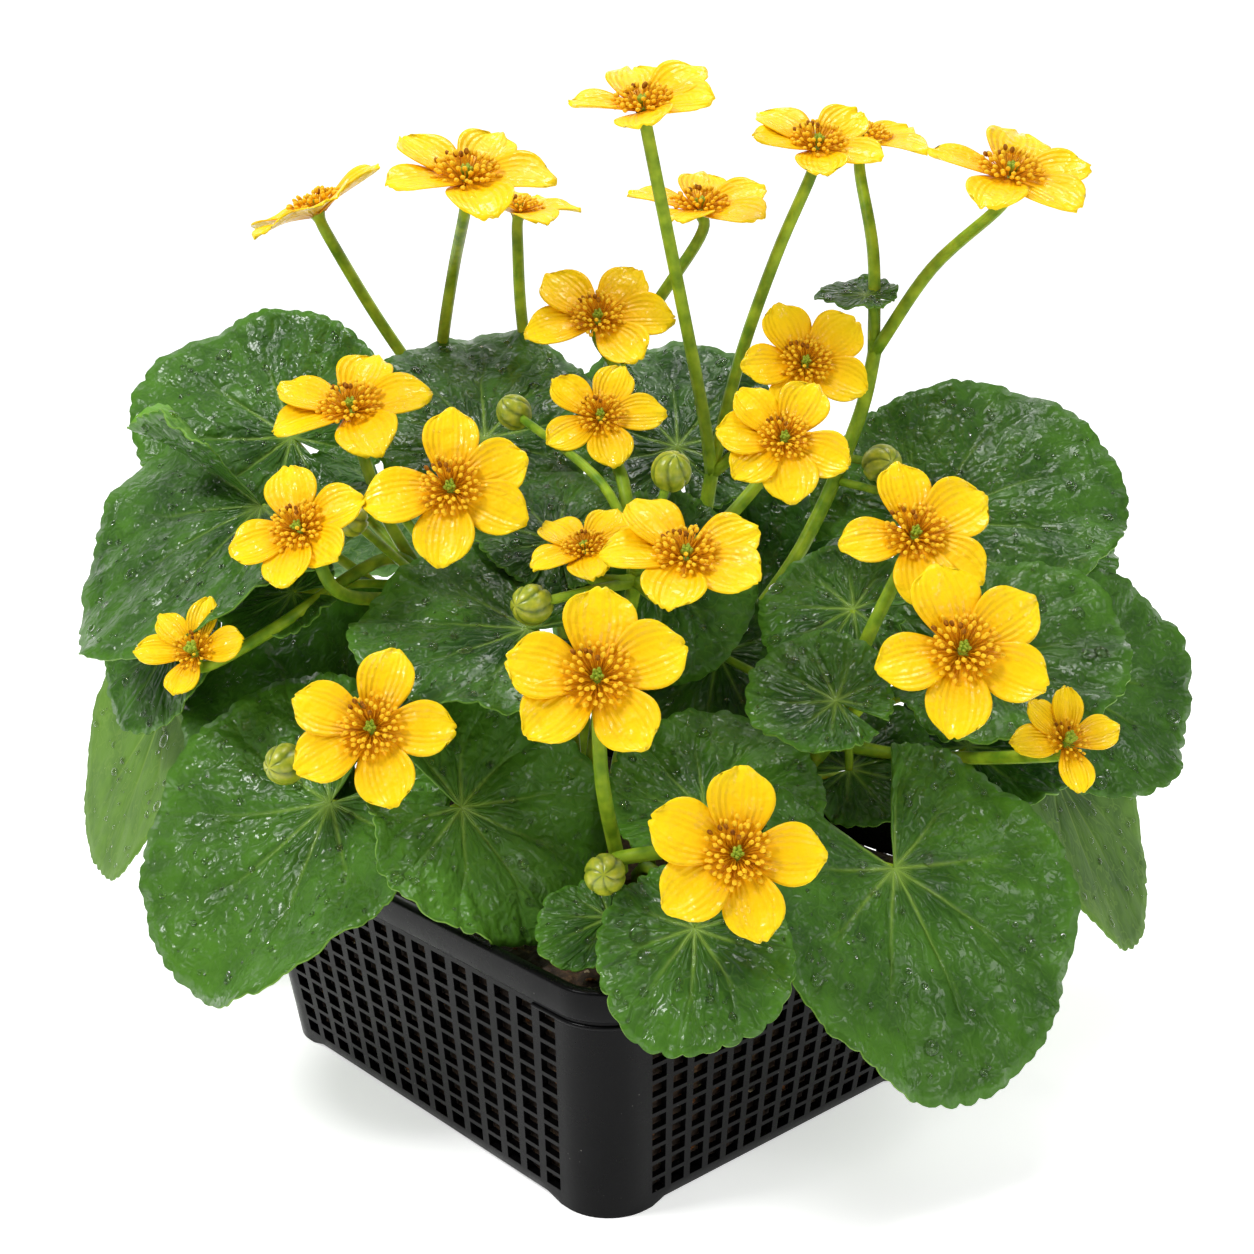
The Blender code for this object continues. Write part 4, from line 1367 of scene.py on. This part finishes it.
@dataclass
class Basket:
    """The moulded basket: mesh walls between plain corner posts, under a wide rim band."""

    palette: Palette
    top: tuple[float, float] = (180, 157)
    foot: tuple[float, float] = (161, 138)
    height: float = 73
    band: float = 9.2
    band_step: float = 0.6
    wall: float = 2.0
    corner: float = 15
    post: float = 16.4             # plain length of wall at each corner
    columns: int = 15
    rows: int = 11
    open_share: tuple[float, float] = (0.67, 0.75)
    lattice: tuple[float, float] = (4.0, 62.6)
    foot_rise: float = 1.5
    arc_cells: int = 14

    def wall_point(self, along: np.ndarray, up: np.ndarray, out: float = 0.0) -> np.ndarray:
        """Points on the outer face.

        Args:
            along: place round the basket, in quarters, each a face and then a corner.
            up: height.
            out: how far outside the face they lie.

        Returns:
            The points, one row each.
        """
        share = up / self.height
        half_x = (self.foot[0] + (self.top[0] - self.foot[0]) * share) / 2 + out
        half_y = (self.foot[1] + (self.top[1] - self.foot[1]) * share) / 2 + out
        corner = self.corner + out
        quarter = np.floor(along + 1e-9).astype(int) % 4
        part = along - np.floor(along + 1e-9)
        straight = np.clip(part / FACE_SHARE, 0, 1) * 2 - 1
        bend = np.clip((part - FACE_SHARE) / (1 - FACE_SHARE), 0, 1) * math.pi / 2
        half_run = np.where(quarter % 2 == 0, half_x, half_y) - corner
        half_out = np.where(quarter % 2 == 0, half_y, half_x)
        run = straight * half_run + np.sin(bend) * corner
        off = half_out - corner + np.cos(bend) * corner
        turn = quarter * math.pi / 2
        # the first face looks along -Y and the next ones follow anticlockwise from above
        x = run * np.cos(turn) + off * np.sin(turn)
        y = run * np.sin(turn) - off * np.cos(turn)
        return np.stack([x, y, up], axis=1)

    def cell_edges(self, count: int, low: float, high: float, share: float) -> list[float]:
        """Edges of evenly spaced openings, from low to high, each as wide as its share of the pitch."""
        pitch = (high - low) / count
        return [low + pitch * (index + 0.5 + side * share / 2) for index in range(count) for side in (-1, 1)]

    def build_walls(self) -> bpy.types.Object:
        """Make the mesh walls as one sheet round the basket, with its openings left out.

        Returns:
            The walls.
        """
        stops: list[tuple[float, bool]] = []
        for quarter in range(4):
            length = self.foot[quarter % 2] - 2 * self.corner
            post = (self.post - self.corner) / length
            edges = self.cell_edges(self.columns, post, 1 - post, self.open_share[0])
            stops += [(quarter, False), (quarter + FACE_SHARE * post * 0.5, False)]
            stops += [(quarter + FACE_SHARE * edge, index % 2 == 0) for index, edge in enumerate(edges)]
            stops += [(quarter + FACE_SHARE * (1 - post * 0.5), False)]
            stops += [(quarter + FACE_SHARE + (1 - FACE_SHARE) * step / self.arc_cells, False)
                      for step in range(self.arc_cells)]
        stops.append((4.0, False))
        levels: list[tuple[float, bool]] = [(0.0, False), (1.8, False)]
        levels += [(edge, index % 2 == 0)
                   for index, edge in enumerate(self.cell_edges(self.rows, *self.lattice, self.open_share[1]))]
        levels += [(self.height - self.band - 0.4, False), (self.height - 1, False)]
        along = np.array([stop for stop, _ in stops])
        up = np.array([level for level, _ in levels])
        bm = bmesh.new()
        verts, u, v = add_grid(bm, len(along) - 1, len(up) - 1)
        column = {vert: round((place + 1) / 2 * (len(along) - 1)) for vert, place in zip(verts, u)}
        row = {vert: round(place * (len(up) - 1)) for vert, place in zip(verts, v)}
        doomed = [face for face in bm.faces
                  if stops[min(column[vert] for vert in face.verts)][1]
                  and levels[min(row[vert] for vert in face.verts)][1]]
        spots = self.wall_point(np.array([along[column[vert]] for vert in verts]),
                                np.array([up[row[vert]] for vert in verts]))
        for vert, spot in zip(verts, spots):
            part = along[column[vert]] % 1
            if row[vert] == 0 and 0.03 < part < 0.77:
                spot[2] += self.foot_rise
            vert.co = spot * MM
        bmesh.ops.delete(bm, geom=doomed, context="FACES")
        bmesh.ops.remove_doubles(bm, verts=bm.verts, dist=1e-6)
        bmesh.ops.recalc_face_normals(bm, faces=bm.faces)
        first = next(iter(bm.faces))
        if first.normal.dot(Vector((*first.calc_center_median()[:2], 0))) < 0:
            bmesh.ops.reverse_faces(bm, faces=bm.faces)
        walls = finish_piece("basket_walls", bm, (self.palette.plastic,))
        thicken(walls, self.wall, -1)
        soft = walls.modifiers.new("mould_radius", "BEVEL")
        soft.width = 0.35 * MM
        soft.segments = 2
        soft.limit_method = "ANGLE"
        soft.angle_limit = math.radians(40)
        soft.harden_normals = True
        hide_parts("basket")
        return walls

    def sweep(self, name: str, profile: Sequence[tuple[float, float]],
              corner: int | None = None) -> bpy.types.Object:
        """Sweep a closed profile round the basket, or round one corner post.

        Args:
            name: the piece's name.
            profile: its points, as distance outside the wall's face and height.
            corner: which post, if it is only round one.

        Returns:
            The piece.
        """
        out, up = np.array([*profile, profile[0]]).T
        parts = [FACE_SHARE * step / 6 for step in range(6)]
        parts += [FACE_SHARE + (1 - FACE_SHARE) * step / 10 for step in range(10)]
        along = np.array([quarter + part for quarter in range(4) for part in parts] + [4.0])
        if corner is not None:
            along = corner + np.array([0.735, *parts[6:], 1.0, 1.065])

        def warp(u: np.ndarray, v: np.ndarray) -> np.ndarray:
            """Carry each point of the profile along its own line round the basket.

            Args:
                u: share of the way along the sweep.
                v: share of the way round the profile.

            Returns:
                The places.
            """
            place = np.rint((u + 1) / 2 * (len(along) - 1)).astype(int)
            step = np.rint(v * len(profile)).astype(int)
            points = np.zeros((len(u), 3))
            for index in range(len(profile) + 1):
                chosen = step == index
                points[chosen] = self.wall_point(along[place[chosen]], np.full(chosen.sum(), up[index]),
                                                 float(out[index]))
            return points

        bm = bmesh.new()
        add_sheet(bm, len(along) - 1, len(profile), warp)
        bmesh.ops.remove_doubles(bm, verts=bm.verts, dist=1e-7)
        if corner is not None:
            bmesh.ops.holes_fill(bm, edges=[edge for edge in bm.edges if edge.is_boundary])
        closed(bm)
        piece = finish_piece(name, bm, (self.palette.plastic,))
        edge = piece.modifiers.new("crisp_edges", "EDGE_SPLIT")
        edge.split_angle = math.radians(50)
        return piece

    def build(self) -> None:
        """Make the basket in place of its solid."""
        self.build_walls()
        high, low = self.height, self.height - self.band
        step = self.band_step
        self.sweep("basket_rim", (
            (step, low + 0.3), (step + 0.2, low + 0.9), (step + 0.2, high - 0.9), (step, high - 0.3),
            (step - 0.4, high), (-self.wall - 0.3, high), (-self.wall - 0.7, high - 0.4),
            (-self.wall - 0.7, low), (-0.3, low)))
        for corner in range(4):
            self.sweep(f"basket_bead_{corner + 1}", (
                (-0.6, low - 2.4), (0.4, low - 2.3), (0.7, low - 1.9), (0.7, low - 1.4), (0.3, low - 1.0),
                (-0.6, low - 0.9)), corner)
        self.build_floor()

    def build_floor(self) -> bpy.types.Object:
        """Make the floor plate inside the walls.

        Returns:
            The floor.
        """
        bm = bmesh.new()
        half = [size / 2 - self.wall - 0.1 for size in self.foot]
        bmesh.ops.create_cube(bm, size=2, matrix=swollen(np.array([0, 0, 1.4]), Matrix.Identity(4),
                                                         (*half, 1.3)))
        upright = [edge for edge in bm.edges if abs(edge.verts[0].co.z - edge.verts[1].co.z) > MM]
        bmesh.ops.bevel(bm, geom=upright, offset=(self.corner - self.wall) * MM, offset_type="OFFSET",
                        segments=8, profile=0.5, affect="EDGES", material=-1)
        return finish_piece("basket_floor", bm, (self.palette.plastic,), smooth=False)


@dataclass
class Soil:
    """The soil block behind the mesh, with bark and grit, and the rootstock on it."""

    palette: Palette
    basket: Basket
    clearance: float = 0.5
    low: float = 3.0
    high: float = 63.2
    grains: int = 1100

    def block(self) -> bpy.types.Object:
        """Make the lumpy soil block.

        Returns:
            The block.
        """
        rng = np.random.default_rng(5)
        lumps = rng.uniform(0, 6.28, 6)
        inset = -(self.basket.wall + self.clearance)
        span = self.high - self.low

        def warp(u: np.ndarray, v: np.ndarray) -> np.ndarray:
            """Wrap the grid under the soil, up its lumpy sides and over its top.

            Args:
                u: share of the way round the basket.
                v: share of the way from the middle below to the middle above.

            Returns:
                The places.
            """
            along = (u + 1) * 2
            side = np.clip((v - 0.12) / 0.52, 0, 1)
            level = self.low + span * side
            points = self.basket.wall_point(along % 4, level, inset)
            rough = (np.sin(along * 37 + level * 0.9 + lumps[0]) + np.sin(along * 61 - level * 1.3 + lumps[1])
                     + np.sin(along * 23 + level * 2.1 + lumps[2])) * 0.35
            shrink = np.where(v < 0.12, v / 0.12, np.where(v > 0.64, (1 - v) / 0.36, 1))
            flat = unit(points * (1, 1, 0))
            points = points - flat * (0.9 + rough)[:, None]
            points[:, :2] *= shrink[:, None]
            heave = (np.sin(points[:, 0] * 0.35 + lumps[3]) * np.cos(points[:, 1] * 0.4 + lumps[4])
                     + 0.6 * np.sin(points[:, 0] * 0.9 + points[:, 1] * 0.7))
            points[:, 2] += np.where(v > 0.64, heave * 0.9, 0)
            return points

        bm = bmesh.new()
        add_sheet(bm, 260, 44, warp)
        closed(bm)
        piece = finish_piece("soil_block", bm, (self.palette.soil,))
        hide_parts("soil")
        return piece

    def scatter(self) -> bpy.types.Object:
        """Press bark chips and grit into the sides and the top.

        Returns:
            The chips and grit as one object.
        """
        rng = np.random.default_rng(11)
        bm = bmesh.new()
        for index in range(self.grains):
            if index % 4:
                along, level = rng.uniform(0, 4, 1), rng.uniform(6, self.high - 4, 1)
                spot = self.basket.wall_point(along, level, -(self.basket.wall + 2.2))[0]
            else:
                half_x, half_y = (size / 2 - 4 for size in self.basket.foot)
                spot = np.array([rng.uniform(-half_x, half_x), rng.uniform(-half_y, half_y), self.high + 0.3])
            bark = rng.random() < 0.6
            radii = rng.uniform(0.5, 1.1, 3) * ((2.2, 2.2, 2.2 * 0.35) if bark else 1.2)
            turn = Matrix.Rotation(rng.uniform(0, 6.28), 4, Vector(unit(rng.normal(size=3))))
            made = bmesh.ops.create_icosphere(bm, subdivisions=1, radius=1, matrix=swollen(spot, turn, radii))
            for face in faces_of(made["verts"]):
                face.material_index = 0 if bark else 1
        finishes = (self.palette.bark, self.palette.grit)
        return finish_piece("bark_and_grit", bm, finishes, smooth=False)

    def build(self) -> None:
        """Make the soil in place of its solid."""
        self.block()
        self.scatter()


# ---------------------------------------------------------------- setting


@dataclass(frozen=True)
class Studio:
    """Pale floor, soft light and the camera."""

    camera_spot: Point = (0.385, -0.337, 0.268)
    camera_aim: Point = (0.0135, 0.0, 0.1425)
    lens: float = 49.3
    room_light: float = 0.32
    light_aim: Point = (0, 0, 0.12)
    board_run: float = 3.0         # length of the flat part of the board, in metres
    board_bend: float = 0.8        # radius of its curve

    def build(self) -> None:
        """Set the floor, the lights, the world and the camera."""
        self.backdrop()
        self.area("key_light", (-0.2, -0.8, 1.0), 0.3, 8)
        self.area("top_light", (-0.1, 0.2, 1.3), 0.5, 7)
        self.area("side_light", (1.0, 0.1, 0.7), 0.4, 2.5)
        world = bpy.data.worlds.new("soft_room_light")
        bpy.context.scene.world = world
        world.use_nodes = True
        background = world.node_tree.nodes["Background"]
        background.inputs["Color"].default_value = (1, 1, 1, 1)
        background.inputs["Strength"].default_value = self.room_light
        bpy.context.scene.view_settings.view_transform = "Standard"
        data = bpy.data.cameras.new("camera")
        data.lens = self.lens
        data.sensor_width = 36
        camera = bpy.data.objects.new("camera", data)
        camera.location = self.camera_spot
        way = Vector(self.camera_aim) - Vector(self.camera_spot)
        camera.rotation_euler = way.to_track_quat("-Z", "Y").to_euler()
        bpy.context.scene.collection.objects.link(camera)
        bpy.context.scene.camera = camera

    def backdrop(self) -> None:
        """Set up a white board that runs along the floor and curves up behind the plant."""
        bm = bmesh.new()
        made = bmesh.ops.create_grid(bm, x_segments=2, y_segments=40, size=1)["verts"]
        away = -unit(np.array([self.camera_spot[0], self.camera_spot[1], 0.0]))
        aside = np.array([-away[1], away[0], 0.0])
        for vert in made:
            run = (vert.co.y + 1) / 2 * 5.0
            past = run - self.board_run
            turn = min(max(past / self.board_bend, 0), math.pi / 2)
            ahead = min(run, self.board_run) - self.board_run / 2 + self.board_bend * math.sin(turn)
            lift = self.board_bend * (1 - math.cos(turn)) + max(past - self.board_bend * math.pi / 2, 0) * 3
            vert.co = away * ahead + aside * vert.co.x * 4 + np.array([0, 0, lift])
        for face in bm.faces:
            face.smooth = True
        mesh = bpy.data.meshes.new("studio_board")
        bm.to_mesh(mesh)
        bm.free()
        mesh.materials.append(dress(new_finish("matt_white_board")[0], {
            "Base Color": srgb("#F4F4F4"), "Roughness": 0.9, "Emission Color": srgb("#FFFFFF"),
            "Emission Strength": 0.58}))
        board = bpy.data.objects.new("studio_board", mesh)
        bpy.context.scene.collection.objects.link(board)

    def area(self, name: str, spot: Point, size: float, power: float) -> None:
        """Add a soft square light that looks at the plant.

        Args:
            name: its name.
            spot: where it hangs, in metres.
            size: length of its side, in metres.
            power: in watts.
        """
        data = bpy.data.lights.new(name, "AREA")
        data.size = size
        data.energy = power
        light = bpy.data.objects.new(name, data)
        light.location = spot
        light.rotation_euler = (Vector(self.light_aim) - Vector(spot)).to_track_quat("-Z", "Y").to_euler()
        bpy.context.scene.collection.objects.link(light)


def main() -> None:
    """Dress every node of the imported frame."""
    logging.basicConfig(level=logging.INFO, format="%(name)s %(message)s")
    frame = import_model()
    Studio().build()
    palette = Palette()
    basket = Basket(palette)
    basket.build()
    Soil(palette, basket).build()
    for slot in frame["nodes"]["rootstock"].material_slots:
        slot.material = palette.root
    for name, plan in LEAVES.items():
        Leaf(f"leaf_{name}", plan, palette, tone=LEAF_TONES_AND_SHADE.get(name, 0.0),
             spread=LEAF_SPREADS.get(name, 163.0), crumple=LEAF_RELIEF.get(name, 1.0)).build()
    for name, plan in FLOWERS.items():
        Flower(f"flower_{name}", plan, palette, seeding=name in SEEDING).build()
    for name, plan in STEMS.items():
        Stem(f"stem_{name}", plan, palette).build()
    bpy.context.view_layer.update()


if __name__ == "__main__":
    main()
